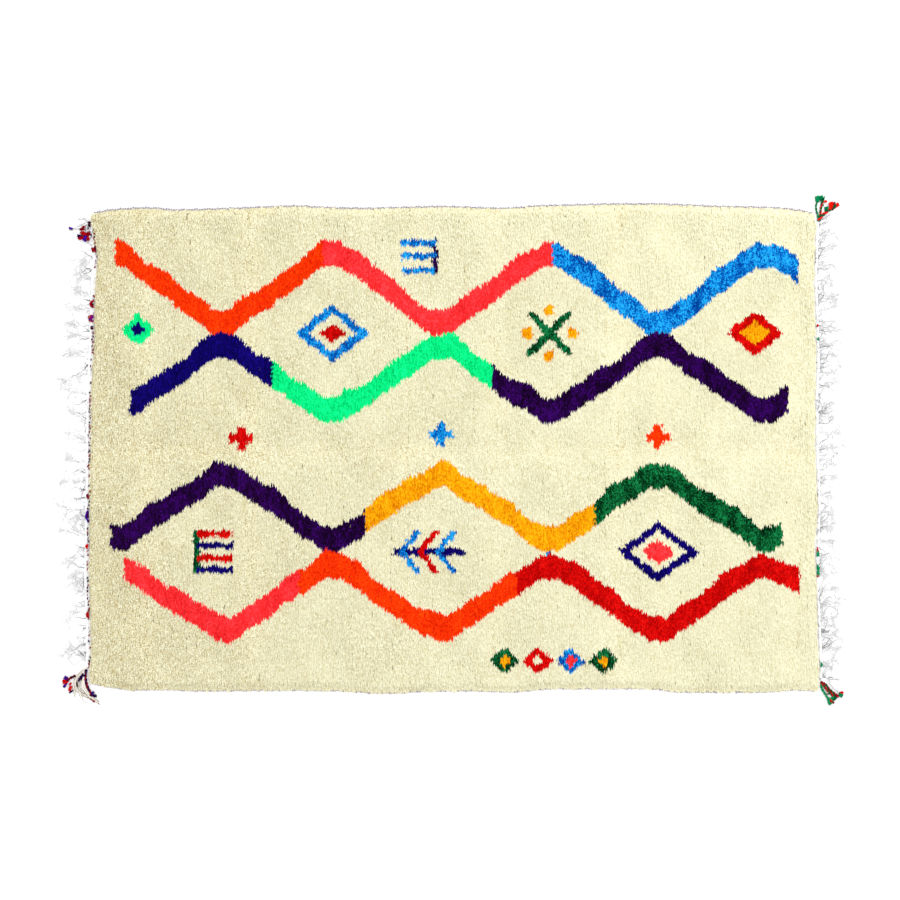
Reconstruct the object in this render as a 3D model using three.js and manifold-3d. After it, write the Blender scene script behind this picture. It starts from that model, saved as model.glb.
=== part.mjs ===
// A hand-knotted wool rug of the High Atlas kind, lying flat with its pile up. The knotted field is one
// lumpy slab with locks of pile at its rim. Overcast selvedges run along its long sides. Each end has
// a narrow woven heading whose warps go on as knotted fringe, a two-colour twined cord laid on the
// heading, and a tassel of cord ends at either corner.
import * as THREE from "three";
import { mergeVertices } from "three/addons/utils/BufferGeometryUtils.js";
import Module from "manifold-3d";

// Sizes in millimetres: +X runs along the warps, +Y across them, +Z up from the floor.
const LENGTH = 2400;
const WIDTH = 1600;
const PILE_TOP = 16;
const WALL_HEIGHT = 6;
const LOCK_HEIGHT = 8.5;
const SHOULDER_HEIGHT = 13.5;
const SHOULDER_INSET = 13;
const FIELD_INSET = 38;
const FLOOR_INSET = 400;
const GAP = 0.6;

// Locks of pile at the rim. The pile leans towards the front, so the locks hang furthest over there.
const FRONT_LOCKS = 100;
const END_LOCKS = 44;
const FRONT_LOCK_REACH = 7;
const END_LOCK_REACH = 4;
const LOCK_UNEVEN = 0.3;
const LOCK_DROOP = 1.2;
const BACK_STEPS = 44;
const FIELD_COLUMNS = 40;
const FIELD_ROWS = 27;

const SELVEDGE_WIDTH = 6;
const SELVEDGE_HEIGHT = 5.2;
const SELVEDGE_SHORT = 0.004;
const HEADING_WIDTH = 10;
const HEADING_HEIGHT = 3;
const TWINE_WIDTH = 3.4;
const TWINE_HEIGHT = 2.6;
const TWINE_OUT = 1.2;
const TWINE_LIFT = 0.3;
const STRAND_ROOT_INSET = 2;

// How far each edge of the pile stands out from a plain rectangle, at places along it.
const BACK_EDGE = [
  { at: -1200, out: -20 },
  { at: -1140, out: -7 },
  { at: -1006, out: 2 },
  { at: -923, out: -8 },
  { at: -734, out: -2 },
  { at: -518, out: 7 },
  { at: -408, out: 0 },
  { at: -276, out: -2 },
  { at: -43, out: 5 },
  { at: 186, out: -3 },
  { at: 259, out: 6 },
  { at: 521, out: 13 },
  { at: 687, out: 13 },
  { at: 890, out: 4 },
  { at: 1026, out: 2 },
  { at: 1125, out: -4 },
  { at: 1200, out: -20 },
];
const FRONT_EDGE = [
  { at: -1200, out: -30 },
  { at: -1132, out: -15 },
  { at: -1062, out: -5 },
  { at: -940, out: -7 },
  { at: -840, out: -2 },
  { at: -508, out: -5 },
  { at: -342, out: -2 },
  { at: -272, out: 5 },
  { at: -176, out: 5 },
  { at: -110, out: -1 },
  { at: 60, out: -3 },
  { at: 192, out: 2 },
  { at: 322, out: -10 },
  { at: 654, out: -10 },
  { at: 740, out: 2 },
  { at: 1019, out: 2 },
  { at: 1119, out: -6 },
  { at: 1200, out: -2 },
];
const LEFT_END = [
  { at: -800, out: 8 },
  { at: -649, out: 7 },
  { at: -450, out: 14 },
  { at: -184, out: 10 },
  { at: 15, out: 8 },
  { at: 214, out: 5 },
  { at: 347, out: -3 },
  { at: 480, out: -5 },
  { at: 629, out: -12 },
  { at: 666, out: -17 },
  { at: 705, out: -12 },
  { at: 800, out: 2 },
];
const RIGHT_END = [
  { at: -800, out: 12 },
  { at: -715, out: 17 },
  { at: -649, out: 13 },
  { at: -516, out: 7 },
  { at: -350, out: 2 },
  { at: -184, out: 10 },
  { at: 15, out: 3 },
  { at: 214, out: 2 },
  { at: 280, out: 7 },
  { at: 480, out: 2 },
  { at: 580, out: -2 },
  { at: 800, out: 4 },
];

// Soft troughs that old folds left: cross folds at places along the length, and one fold lengthwise.
const CROSS_FOLDS = [
  { at: -1010, depth: 2.0, spread: 42 },
  { at: -674, depth: 3.0, spread: 36 },
  { at: -143, depth: 2.0, spread: 40 },
  { at: 139, depth: 2.0, spread: 40 },
  { at: 554, depth: 3.0, spread: 36 },
  { at: 690, depth: 2.2, spread: 34 },
  { at: 1120, depth: 2.0, spread: 36 },
];
const LENGTH_FOLD = { at: 5, depth: 3.0, spread: 38 };

// Lumps of the pile: two waves that cross, each bent by the other way's place, and a slanting one.
const LUMP_HEIGHT = 0.7;
const LUMPS_ALONG = { length: 31, bend: 1.3, bendLength: 53 };
const LUMPS_ACROSS = { length: 37, bend: 1.7, bendLength: 61 };
const SLANT_HEIGHT = 0.5;
const SLANT_LENGTH = 83;

// Bunches of knotted warps at the left end: the root's place across the rug, how far the bunch reaches,
// how far its tip drifts along the end, and how far its middle bows.
const LEFT_BUNCHES = [
  { root: 640, reach: 40, drift: -16, bow: 8 },
  { root: 559, reach: 60, drift: 24, bow: -10 },
  { root: 509, reach: 48, drift: 22, bow: 5 },
  { root: 460, reach: 58, drift: 10, bow: -6 },
  { root: 417, reach: 74, drift: 10, bow: 9 },
  { root: 372, reach: 70, drift: 2, bow: 0 },
  { root: 330, reach: 84, drift: -6, bow: 14 },
  { root: 272, reach: 90, drift: -46, bow: 8 },
  { root: 187, reach: 88, drift: 26, bow: 5 },
  { root: 118, reach: 54, drift: 20, bow: 12 },
  { root: 28, reach: 84, drift: 26, bow: -10 },
  { root: -46, reach: 72, drift: 12, bow: -5 },
  { root: -89, reach: 92, drift: -4, bow: 14 },
  { root: -195, reach: 98, drift: 14, bow: 8 },
  { root: -251, reach: 36, drift: 26, bow: -12 },
  { root: -291, reach: 88, drift: 20, bow: -10 },
  { root: -341, reach: 78, drift: -34, bow: 6 },
  { root: -408, reach: 32, drift: -12, bow: -10 },
  { root: -481, reach: 46, drift: 42, bow: -8 },
  { root: -512, reach: 54, drift: -46, bow: -10 },
  { root: -647, reach: 96, drift: -36, bow: 8 },
];
// The right end's bunches are finer and evenly spread, and most of them lean towards the back. Each has
// its own stray from the even places, and its own reach, drift and bow between the least and the most.
const RIGHT_BUNCH_COUNT = 29;
const RIGHT_ROOTS = { first: 716, last: -716, stray: 10 };
const RIGHT_REACH = { least: 46, most: 70 };
const RIGHT_DRIFT = { least: -3, most: 19 };
const RIGHT_BOW = { least: -6, most: 6 };
const FINE_GIRTH = 0.8;

// A bunch along its length: its width and height at shares of the way out. The bulge is its knot.
const BUNCH_SECTIONS = [
  { share: 0, wide: 7, high: 2.4 },
  { share: 0.14, wide: 6.5, high: 4.5 },
  { share: 0.5, wide: 5, high: 4 },
  { share: 0.58, wide: 11, high: 8 },
  { share: 0.68, wide: 7, high: 4.5 },
  { share: 1, wide: 15, high: 2.5 },
];

// Where the twined cord stands out in a loop: its place, length and width along the end.
const TWINE_LOOPS = {
  left: [
    { at: 484, long: 26, wide: 9 },
    { at: 440, long: 20, wide: 12 },
    { at: -220, long: 30, wide: 7 },
  ],
  right: [
    { at: 410, long: 10, wide: 5 },
    { at: -338, long: 16, wide: 7 },
    { at: -396, long: 28, wide: 9 },
  ],
};
const LOOP_HEIGHT = 5;

// Corner tassels: the knot's place, and for each cord end the direction in which it leaves, its length,
// how far it bends round on its way and the width of the tuft at its tip.
const KNOT_OUT = 9.9;
const TASSELS = [
  {
    name: "tassel_back_left",
    end: "left",
    root: 752,
    cords: [
      { toward: 152, length: 58, bend: 40, tip: 6 },
      { toward: 186, length: 78, bend: 10, tip: 9 },
      { toward: 212, length: 54, bend: 0, tip: 12 },
      { toward: 240, length: 64, bend: 8, tip: 17 },
      { toward: 254, length: 66, bend: 6, tip: 8 },
    ],
  },
  {
    name: "tassel_front_left",
    end: "left",
    root: -735,
    cords: [
      { toward: 204, length: 82, bend: 12, tip: 17 },
      { toward: 228, length: 88, bend: 16, tip: 15 },
      { toward: 246, length: 108, bend: 34, tip: 9 },
      { toward: 254, length: 116, bend: 50, tip: 10 },
      { toward: 262, length: 126, bend: 56, tip: 12 },
    ],
  },
  {
    name: "tassel_back_right",
    end: "right",
    root: 762,
    cords: [
      { toward: 94, length: 78, bend: -12, tip: 17 },
      { toward: 74, length: 64, bend: -4, tip: 11 },
      { toward: 58, length: 44, bend: -4, tip: 9 },
      { toward: 46, length: 70, bend: -6, tip: 18 },
      { toward: 16, length: 56, bend: 10, tip: 6 },
    ],
  },
  {
    name: "tassel_front_right",
    end: "right",
    root: -774,
    cords: [
      { toward: 350, length: 48, bend: 8, tip: 6 },
      { toward: 328, length: 70, bend: -6, tip: 14 },
      { toward: 308, length: 68, bend: 4, tip: 10 },
      { toward: 284, length: 80, bend: 0, tip: 14 },
    ],
  },
];
const KNOT_PROFILE = [
  [0, 0],
  [9.2, 0],
  [9.6, 2.5],
  [8.4, 5],
  [5.4, 6.6],
  [3, 8.6],
  [0, 9.4],
];
const KNOT_SIDES = 10;
const KNOT_CLEARANCE = 11;
const CORD_WIDTH = 5.5;
const CORD_HEIGHT = 5;
const CURVE_STEPS = 7;
// A cut tuft swells between two shares of the way along its cord, and is drawn in at its very tip.
const TUFT_STARTS = 0.7;
const TUFT_FULL = 0.86;
const TUFT_TIP = 0.6;
const TUFT_MOST_HEIGHT = 9;

const wasm = await Module();
wasm.setup();

const material = (colour, roughness) =>
  new THREE.MeshStandardMaterial({ color: colour, roughness, metalness: 0 });
const IVORY_WOOL = material(0xf1ecc8, 0.92);
const WHITE_WARP = material(0xf1efe8, 0.88);
const GREY_WOOL = material(0x8f8c98, 0.9);
const RED_VIOLET_TWINE = material(0x8c1630, 0.88);
const GREEN_RED_TWINE = material(0x1f7a4a, 0.88);

// A repeatable number from 0 to 1 for a count.
function wander(count) {
  const value = Math.sin(count * 12.9898) * 43758.5453;
  return value - Math.floor(value);
}

// How far an edge stands out at a place along it: straight between the table's rows.
function edgeOut(rows, at) {
  const next = rows.findIndex((row) => row.at >= at);
  if (next <= 0) return (next < 0 ? rows[rows.length - 1] : rows[0]).out;
  const [a, b] = [rows[next - 1], rows[next]];
  return THREE.MathUtils.mapLinear(at, a.at, b.at, a.out, b.out);
}

// Where a point of the field lies in plan: u runs from the left end to the right, v from front to back.
function inPlan(u, v) {
  const x = (u - 0.5) * LENGTH;
  const y = (v - 0.5) * WIDTH;
  const left = -LENGTH / 2 - edgeOut(LEFT_END, y);
  const right = LENGTH / 2 + edgeOut(RIGHT_END, y);
  const front = -WIDTH / 2 - edgeOut(FRONT_EDGE, x);
  const back = WIDTH / 2 + edgeOut(BACK_EDGE, x);
  return new THREE.Vector2(
    THREE.MathUtils.lerp(left, right, u),
    THREE.MathUtils.lerp(front, back, v),
  );
}

const trough = (fold, at) =>
  fold.depth * Math.exp(-(((at - fold.at) / fold.spread) ** 2));

const bentWave = ({ length, bend, bendLength }, at, across) =>
  Math.sin(at / length + bend * Math.sin(across / bendLength));

// Height of the pile's surface: its thickness, less the old folds, with soft lumps.
function pileHeight(x, y) {
  const folds = CROSS_FOLDS.reduce((sum, fold) => sum + trough(fold, x), 0);
  const lumps =
    LUMP_HEIGHT * (bentWave(LUMPS_ALONG, x, y) + bentWave(LUMPS_ACROSS, y, x)) +
    SLANT_HEIGHT * Math.sin((x + y) / SLANT_LENGTH);
  return PILE_TOP - folds - trough(LENGTH_FOLD, y) + lumps;
}

// The four sides of the rim, anticlockwise from the front left corner. Each has a number of straight
// steps, with a lock of pile at the middle of each step where the side has a reach.
const SIDES = {
  front: { steps: FRONT_LOCKS, reach: FRONT_LOCK_REACH, outward: [0, -1], at: (t) => [t, 0] },
  right: { steps: END_LOCKS, reach: END_LOCK_REACH, outward: [1, 0], at: (t) => [1, t] },
  back: { steps: BACK_STEPS, reach: 0, outward: [0, 1], at: (t) => [t, 1] },
  left: { steps: END_LOCKS, reach: END_LOCK_REACH, outward: [-1, 0], at: (t) => [0, t] },
};
const RIM = [
  { side: SIDES.front, backwards: false },
  { side: SIDES.right, backwards: false },
  { side: SIDES.back, backwards: true },
  { side: SIDES.left, backwards: true },
];

// A point of the rim's straight steps, by its share of the way along a side, drawn in by an inset.
function onRim(side, share, inset = 0) {
  const corner = (step) => {
    const [u, v] = side.at(step / side.steps);
    return inPlan(
      THREE.MathUtils.lerp(inset, LENGTH - inset, u) / LENGTH,
      THREE.MathUtils.lerp(inset, WIDTH - inset, v) / WIDTH,
    );
  };
  const step = Math.min(Math.floor(share * side.steps + 1e-9), side.steps - 1);
  return corner(step).lerp(corner(step + 1), share * side.steps - step);
}

// How many points of a loop round the rim belong to each side: a side with locks has one between steps.
const RIM_COUNTS = RIM.map(({ side }) => (side.reach ? 2 * side.steps : side.steps));

// A closed loop of points round the rim at one height. Where the loop has locks, each one stands out and
// droops by its own amount.
function rimLoop(inset, height, locks) {
  return RIM.flatMap(({ side, backwards }, number) => {
    const count = RIM_COUNTS[number];
    return Array.from({ length: count }, (_, i) => {
      const share = backwards ? 1 - i / count : i / count;
      const at = onRim(side, share, inset);
      const isLock = locks && side.reach && i % 2;
      const reach = isLock ? side.reach * (1 - LOCK_UNEVEN * wander(i)) : 0;
      const droop = isLock ? LOCK_DROOP * wander(i + 0.5) : 0;
      const [outX, outY] = side.outward;
      return new THREE.Vector3(at.x + outX * reach, at.y + outY * reach, height - droop);
    });
  });
}

// A geometry from shared vertices and faces.
function geometryOf(vertices, faces) {
  const geometry = new THREE.BufferGeometry();
  geometry.setFromPoints(vertices);
  geometry.setIndex(faces.flat());
  return geometry.toNonIndexed();
}

// Faces that join one loop of vertices to the next, each loop counted from its first vertex.
function bandBetween(lower, upper, count) {
  const faces = [];
  for (let i = 0; i < count; i += 1) {
    const j = (i + 1) % count;
    faces.push([lower + i, lower + j, upper + j], [lower + i, upper + j, upper + i]);
  }
  return faces;
}

// A loop's vertices, each with its place round the rim: its side's number, from 0, plus the share of the
// way along that side. The counts say how many vertices belong to each side.
function placed(vertices, counts) {
  const places = counts.flatMap((count, side) => Array.from({ length: count }, (_, i) => side + i / count));
  return { vertices, places: [...places, counts.length] };
}

// Upward faces that join an outer loop to an inner one. Both run anticlockwise from the same corner.
function stitched(outer, inner) {
  const faces = [];
  const next = (loop, i) => loop.places[i + 1] ?? Infinity;
  const vertex = (loop, i) => loop.vertices[i % loop.vertices.length];
  let [i, j] = [0, 0];
  while (i < outer.vertices.length || j < inner.vertices.length) {
    const [a, b] = [vertex(outer, i), vertex(inner, j)];
    if (next(outer, i) <= next(inner, j)) {
      i += 1;
      faces.push([a, vertex(outer, i), b]);
    } else {
      j += 1;
      faces.push([a, vertex(inner, j), b]);
    }
  }
  return faces;
}

// The knotted field: wall, locks and shoulder as loops round the rim, then the lumpy top as a grid.
function knottedField() {
  const loops = [
    rimLoop(0, 0, false),
    rimLoop(0, WALL_HEIGHT, false),
    rimLoop(0, LOCK_HEIGHT, true),
    rimLoop(SHOULDER_INSET, SHOULDER_HEIGHT, false),
  ];
  const count = loops[0].length;
  const vertices = loops.flat();
  const faces = [];
  for (let ring = 0; ring + 1 < loops.length; ring += 1)
    faces.push(...bandBetween(ring * count, (ring + 1) * count, count));

  const grid = [];
  const gridStart = vertices.length;
  for (let row = 0; row <= FIELD_ROWS; row += 1)
    for (let column = 0; column <= FIELD_COLUMNS; column += 1) {
      const u = THREE.MathUtils.lerp(FIELD_INSET, LENGTH - FIELD_INSET, column / FIELD_COLUMNS) / LENGTH;
      const v = THREE.MathUtils.lerp(FIELD_INSET, WIDTH - FIELD_INSET, row / FIELD_ROWS) / WIDTH;
      const at = inPlan(u, v);
      grid.push(new THREE.Vector3(at.x, at.y, pileHeight(at.x, at.y)));
    }
  vertices.push(...grid);
  const gridIndex = (column, row) => gridStart + row * (FIELD_COLUMNS + 1) + column;
  for (let row = 0; row < FIELD_ROWS; row += 1)
    for (let column = 0; column < FIELD_COLUMNS; column += 1) {
      const [a, b] = [gridIndex(column, row), gridIndex(column + 1, row)];
      const [c, d] = [gridIndex(column + 1, row + 1), gridIndex(column, row + 1)];
      faces.push([a, b, c], [a, c, d]);
    }

  const border = [];
  for (let column = 0; column < FIELD_COLUMNS; column += 1) border.push(gridIndex(column, 0));
  for (let row = 0; row < FIELD_ROWS; row += 1) border.push(gridIndex(FIELD_COLUMNS, row));
  for (let column = FIELD_COLUMNS; column > 0; column -= 1) border.push(gridIndex(column, FIELD_ROWS));
  for (let row = FIELD_ROWS; row > 0; row -= 1) border.push(gridIndex(0, row));
  const shoulder = placed(loops[3].map((_, i) => 3 * count + i), RIM_COUNTS);
  const borderCounts = [FIELD_COLUMNS, FIELD_ROWS, FIELD_COLUMNS, FIELD_ROWS];
  faces.push(...stitched(shoulder, placed(border, borderCounts)));

  const floorStart = vertices.length;
  const [u, v] = [FLOOR_INSET / LENGTH, FLOOR_INSET / WIDTH];
  const inner = [inPlan(u, v), inPlan(1 - u, v), inPlan(1 - u, 1 - v), inPlan(u, 1 - v)];
  vertices.push(...inner.map((at) => new THREE.Vector3(at.x, at.y, 0)));
  const [a, b, c, d] = inner.map((_, i) => floorStart + i);
  const rim = placed(loops[0].map((_, i) => i), RIM_COUNTS);
  const floorFaces = [...stitched(rim, placed([a, b, c, d], [1, 1, 1, 1])), [a, b, c], [a, c, d]];
  faces.push(...floorFaces.map((face) => face.reverse()));
  return geometryOf(vertices, faces);
}

// A closed loft: each section is a ring of points, in the same order, with flat caps at both ends.
function loft(sections) {
  const sides = sections[0].length;
  const faces = [];
  for (let ring = 0; ring + 1 < sections.length; ring += 1)
    faces.push(...bandBetween(ring * sides, (ring + 1) * sides, sides));
  const last = (sections.length - 1) * sides;
  for (let i = 1; i + 1 < sides; i += 1) {
    faces.push([0, i + 1, i]);
    faces.push([last, last + i, last + i + 1]);
  }
  return geometryOf(sections.flat(), faces);
}

// One section of a loft that runs over the floor: a profile of [across, up] pairs, square to the way.
function sectionAt(place, way, profile, lift = 0) {
  const across = new THREE.Vector2(-way.y, way.x).normalize();
  return profile.map(
    ([side, up]) =>
      new THREE.Vector3(place.x + across.x * side, place.y + across.y * side, up + lift),
  );
}

// A six-sided profile of a cord, flat underneath, turned anticlockwise as seen from its far end.
const cordProfile = (width, height) => [
  [-width / 4, 0],
  [width / 4, 0],
  [width / 2, height / 2],
  [width / 4, height],
  [-width / 4, height],
  [-width / 2, height / 2],
];
// A four-sided profile of a bunch of yarns, flat underneath.
const bunchProfile = (width, height) => [
  [-width / 2, 0],
  [width / 2, 0],
  [width * 0.3, height],
  [-width * 0.3, height],
];

// A cord or strip beside a side of the rim: it turns where the rim's steps do, and stays square to it.
function besideRim(side, out, profile, lift, from, to) {
  const corners = Array.from({ length: side.steps + 1 }, (_, i) => i / side.steps);
  const shares = [from, ...corners.filter((share) => share > from && share < to), to];
  const way = new THREE.Vector2(Math.abs(side.outward[1]), Math.abs(side.outward[0]));
  const sections = shares.map((share) => {
    const at = onRim(side, share);
    const place = new THREE.Vector2(at.x + side.outward[0] * out, at.y + side.outward[1] * out);
    return sectionAt(place, way, profile, lift);
  });
  return loft(sections);
}

const SELVEDGE_OUT = GAP + SELVEDGE_WIDTH / 2;
function selvedge(side) {
  const profile = cordProfile(SELVEDGE_WIDTH, SELVEDGE_HEIGHT);
  return besideRim(side, SELVEDGE_OUT, profile, 0, SELVEDGE_SHORT, 1 - SELVEDGE_SHORT);
}

// The share of the way along an end at which a place across the rug lies.
function alongEnd(side, root) {
  const [first, last] = [onRim(side, 0).y, onRim(side, 1).y];
  return THREE.MathUtils.mapLinear(root, first, last, 0, 1);
}

// The heading runs between the end's two corner knots and stands clear of them.
function headingSpan(endName) {
  const side = SIDES[endName];
  const roots = TASSELS.filter((row) => row.end === endName).map((row) => row.root);
  return [
    alongEnd(side, Math.min(...roots) + KNOT_CLEARANCE),
    alongEnd(side, Math.max(...roots) - KNOT_CLEARANCE),
  ];
}

function stripAtEnd(endName, out, profile, lift) {
  const [from, to] = headingSpan(endName);
  return besideRim(SIDES[endName], out, profile, lift, from, to);
}

// A manifold solid of a closed geometry, and back.
function solidOf(geometry) {
  const bare = geometry.index ? geometry.toNonIndexed() : geometry.clone();
  bare.deleteAttribute("normal");
  bare.deleteAttribute("uv");
  const merged = mergeVertices(bare, 1e-4);
  const corners = [...merged.index.array];
  const triangles = corners.filter((_, i) => {
    const [a, b, c] = corners.slice(i - (i % 3), i - (i % 3) + 3);
    return a !== b && b !== c && c !== a;
  });
  return new wasm.Manifold(
    new wasm.Mesh({
      numProp: 3,
      vertProperties: new Float32Array(merged.attributes.position.array),
      triVerts: new Uint32Array(triangles),
    }),
  );
}

function geometryFrom(solid) {
  const mesh = solid.getMesh();
  const geometry = new THREE.BufferGeometry();
  geometry.setAttribute("position", new THREE.BufferAttribute(mesh.vertProperties, 3));
  geometry.setIndex(new THREE.BufferAttribute(mesh.triVerts, 1));
  return geometry;
}

const fused = (geometries) =>
  geometryFrom(geometries.map(solidOf).reduce((all, solid) => all.add(solid)));

// A bunch of warps as a loft along a bowed line over the floor.
function bunch(start, tip, bow, rows) {
  const way = tip.clone().sub(start);
  const across = new THREE.Vector2(-way.y, way.x).normalize();
  const pointAt = (t) =>
    start.clone().addScaledVector(way, t).addScaledVector(across, bow * Math.sin(Math.PI * t));
  return loft(
    rows.map(({ share, wide, high }) => {
      const tangent = pointAt(share + 0.01).sub(pointAt(share - 0.01));
      return sectionAt(pointAt(share), tangent, bunchProfile(wide, high));
    }),
  );
}

function rightBunches() {
  const { first, last, stray } = RIGHT_ROOTS;
  const between = ({ least, most }, count) => THREE.MathUtils.lerp(least, most, wander(count));
  return Array.from({ length: RIGHT_BUNCH_COUNT }, (_, i) => ({
    root: THREE.MathUtils.lerp(first, last, i / (RIGHT_BUNCH_COUNT - 1)) + stray * (wander(i + 1) - 0.5),
    reach: between(RIGHT_REACH, i + 31),
    drift: between(RIGHT_DRIFT, i + 61),
    bow: between(RIGHT_BOW, i + 91),
  }));
}

// A heading with its fringe: a flat strip beside the pile's end, and the bunches that grow from it.
function fringe(endName, bunches, girth) {
  const side = SIDES[endName];
  const [outward] = side.outward;
  const halfWidth = HEADING_WIDTH / 2;
  const strip = [
    [-halfWidth, 0],
    [halfWidth, 0],
    [halfWidth, HEADING_HEIGHT],
    [-halfWidth, HEADING_HEIGHT],
  ];
  const outerEdge = GAP + HEADING_WIDTH;
  const rows = BUNCH_SECTIONS.map((row) => ({ ...row, wide: row.wide * girth, high: row.high * girth }));
  const strands = bunches.map(({ root, reach, drift, bow }) => {
    const edge = onRim(side, alongEnd(side, root));
    const start = new THREE.Vector2(edge.x + outward * (outerEdge - STRAND_ROOT_INSET), edge.y);
    const tip = new THREE.Vector2(edge.x + outward * (outerEdge + reach), edge.y + drift);
    return bunch(start, tip, bow, rows);
  });
  return fused([stripAtEnd(endName, GAP + halfWidth, strip, 0), ...strands]);
}

// The twined cord on a heading, with the loops in which it stands out over the heading's outer edge.
function twine(endName) {
  const side = SIDES[endName];
  const lift = HEADING_HEIGHT + TWINE_LIFT;
  const centre = TWINE_OUT + TWINE_WIDTH / 2;
  const cord = stripAtEnd(endName, centre, cordProfile(TWINE_WIDTH, TWINE_HEIGHT), lift);
  const loops = TWINE_LOOPS[endName].map(({ at, long, wide }) => {
    const sections = [-0.5, -0.3, 0.3, 0.5].map((share) => {
      const swell = Math.abs(share) < 0.4 ? 1 : 0.5;
      const edge = onRim(side, alongEnd(side, at + share * long));
      const out = centre + (wide * swell) / 2;
      const place = new THREE.Vector2(edge.x + side.outward[0] * out, edge.y);
      const profile = cordProfile(wide * swell, LOOP_HEIGHT * swell);
      return sectionAt(place, new THREE.Vector2(0, 1), profile, lift);
    });
    return loft(sections);
  });
  return fused([cord, ...loops]);
}

// One cord end of a tassel: it leaves the knot, bends round evenly and swells into a cut tuft.
function tasselCord(knot, { toward, length, bend, tip }) {
  const places = [knot.clone()];
  const ways = [];
  for (let step = 0; step < CURVE_STEPS; step += 1) {
    const turn = THREE.MathUtils.degToRad(toward + (bend * step) / (CURVE_STEPS - 1));
    ways.push(new THREE.Vector2(Math.cos(turn), Math.sin(turn)));
    places.push(places[step].clone().addScaledVector(ways[step], length / CURVE_STEPS));
  }
  ways.push(ways[CURVE_STEPS - 1]);
  const tuft = { wide: tip, high: Math.min(tip, TUFT_MOST_HEIGHT) };
  return loft(
    places.map((place, i) => {
      const share = i / CURVE_STEPS;
      const swell = THREE.MathUtils.smoothstep(share, TUFT_STARTS, TUFT_FULL);
      const close = share === 1 ? TUFT_TIP : 1;
      return sectionAt(
        place,
        ways[i],
        bunchProfile(
          THREE.MathUtils.lerp(CORD_WIDTH, tuft.wide, swell) * close,
          THREE.MathUtils.lerp(CORD_HEIGHT, tuft.high, swell) * close,
        ),
      );
    }),
  );
}

function tassel({ end: endName, root, cords }) {
  const side = SIDES[endName];
  const edge = onRim(side, alongEnd(side, root));
  const knot = new THREE.Vector2(edge.x + side.outward[0] * KNOT_OUT, edge.y);
  const profile = KNOT_PROFILE.map(([radius, up]) => new THREE.Vector2(radius, up));
  const head = new THREE.LatheGeometry(profile, KNOT_SIDES)
    .rotateX(Math.PI / 2)
    .translate(knot.x, knot.y, 0);
  return fused([head, ...cords.map((cord) => tasselCord(knot, cord))]);
}

function named(name, geometry, finish) {
  const mesh = new THREE.Mesh(geometry, finish);
  mesh.name = name;
  return mesh;
}

const rug = new THREE.Group();
rug.add(named("knotted_field", knottedField(), IVORY_WOOL));
rug.add(named("selvedge_back", selvedge(SIDES.back), GREY_WOOL));
rug.add(named("selvedge_front", selvedge(SIDES.front), GREY_WOOL));
rug.add(named("fringe_left", fringe("left", LEFT_BUNCHES, 1), WHITE_WARP));
rug.add(named("fringe_right", fringe("right", rightBunches(), FINE_GIRTH), WHITE_WARP));
rug.add(named("twine_left", twine("left"), RED_VIOLET_TWINE));
rug.add(named("twine_right", twine("right"), GREEN_RED_TWINE));
for (const row of TASSELS)
  rug.add(named(row.name, tassel(row), row.end === "left" ? RED_VIOLET_TWINE : GREEN_RED_TWINE));

// The origin is on the floor, under the middle of everything built.
const middle = new THREE.Box3().setFromObject(rug).getCenter(new THREE.Vector3());
rug.position.set(-middle.x, -middle.y, 0);

const part = new THREE.Group();
part.add(rug);
export default part;
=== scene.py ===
"""A hand-knotted wool rug of the High Atlas kind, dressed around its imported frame.

The pile is real: every knot's two yarn ends are modelled, in the yarn that the rug's design asks for at
that knot. Warps, selvedges, twined cords and tassels are bent from straight tubes. Sizes are in metres.
"""

import logging
import math
from collections.abc import Sequence
from dataclasses import dataclass
from enum import Enum
from typing import Any

import bmesh
import bpy
import numpy as np
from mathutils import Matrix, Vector

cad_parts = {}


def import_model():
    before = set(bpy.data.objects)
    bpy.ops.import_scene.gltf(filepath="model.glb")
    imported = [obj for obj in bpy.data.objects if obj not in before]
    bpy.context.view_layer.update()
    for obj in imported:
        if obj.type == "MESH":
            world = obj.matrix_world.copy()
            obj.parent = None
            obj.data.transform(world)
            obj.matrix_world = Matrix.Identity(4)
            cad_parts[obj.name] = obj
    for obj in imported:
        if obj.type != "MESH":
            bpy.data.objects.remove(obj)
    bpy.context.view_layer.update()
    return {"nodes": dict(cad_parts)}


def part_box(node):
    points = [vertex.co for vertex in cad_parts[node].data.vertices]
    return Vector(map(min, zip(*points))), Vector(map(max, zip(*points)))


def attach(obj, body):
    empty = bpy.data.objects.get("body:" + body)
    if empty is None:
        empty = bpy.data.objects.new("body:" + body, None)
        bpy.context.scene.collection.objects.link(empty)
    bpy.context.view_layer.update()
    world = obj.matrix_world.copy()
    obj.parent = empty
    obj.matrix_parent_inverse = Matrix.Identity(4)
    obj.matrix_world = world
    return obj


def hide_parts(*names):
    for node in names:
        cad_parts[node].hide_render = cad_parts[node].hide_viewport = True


LOG = logging.getLogger("rug")
Array = np.ndarray
Generator = np.random.Generator
Piece = bpy.types.Object
Material = bpy.types.Material
Colour = tuple[float, float, float, float]
Pair = tuple[float, float]
Steps = tuple[int, int, int]

BODY = "root"
FIELD_NODE = "knotted_field"
SEED = 20
MM = 0.001
TURN = 2 * math.pi
UP = np.array([0.0, 0.0, 1.0])
# Added to a length before it divides, so that a length of nothing does no harm.
TINY = 1e-12

# The pile's own rectangle: its size, and where its middle lies in the frame.
FIELD_LENGTH = 2.4
FIELD_WIDTH = 1.6
FIELD_CENTRE = np.array([0.018358, 0.006084])


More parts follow.
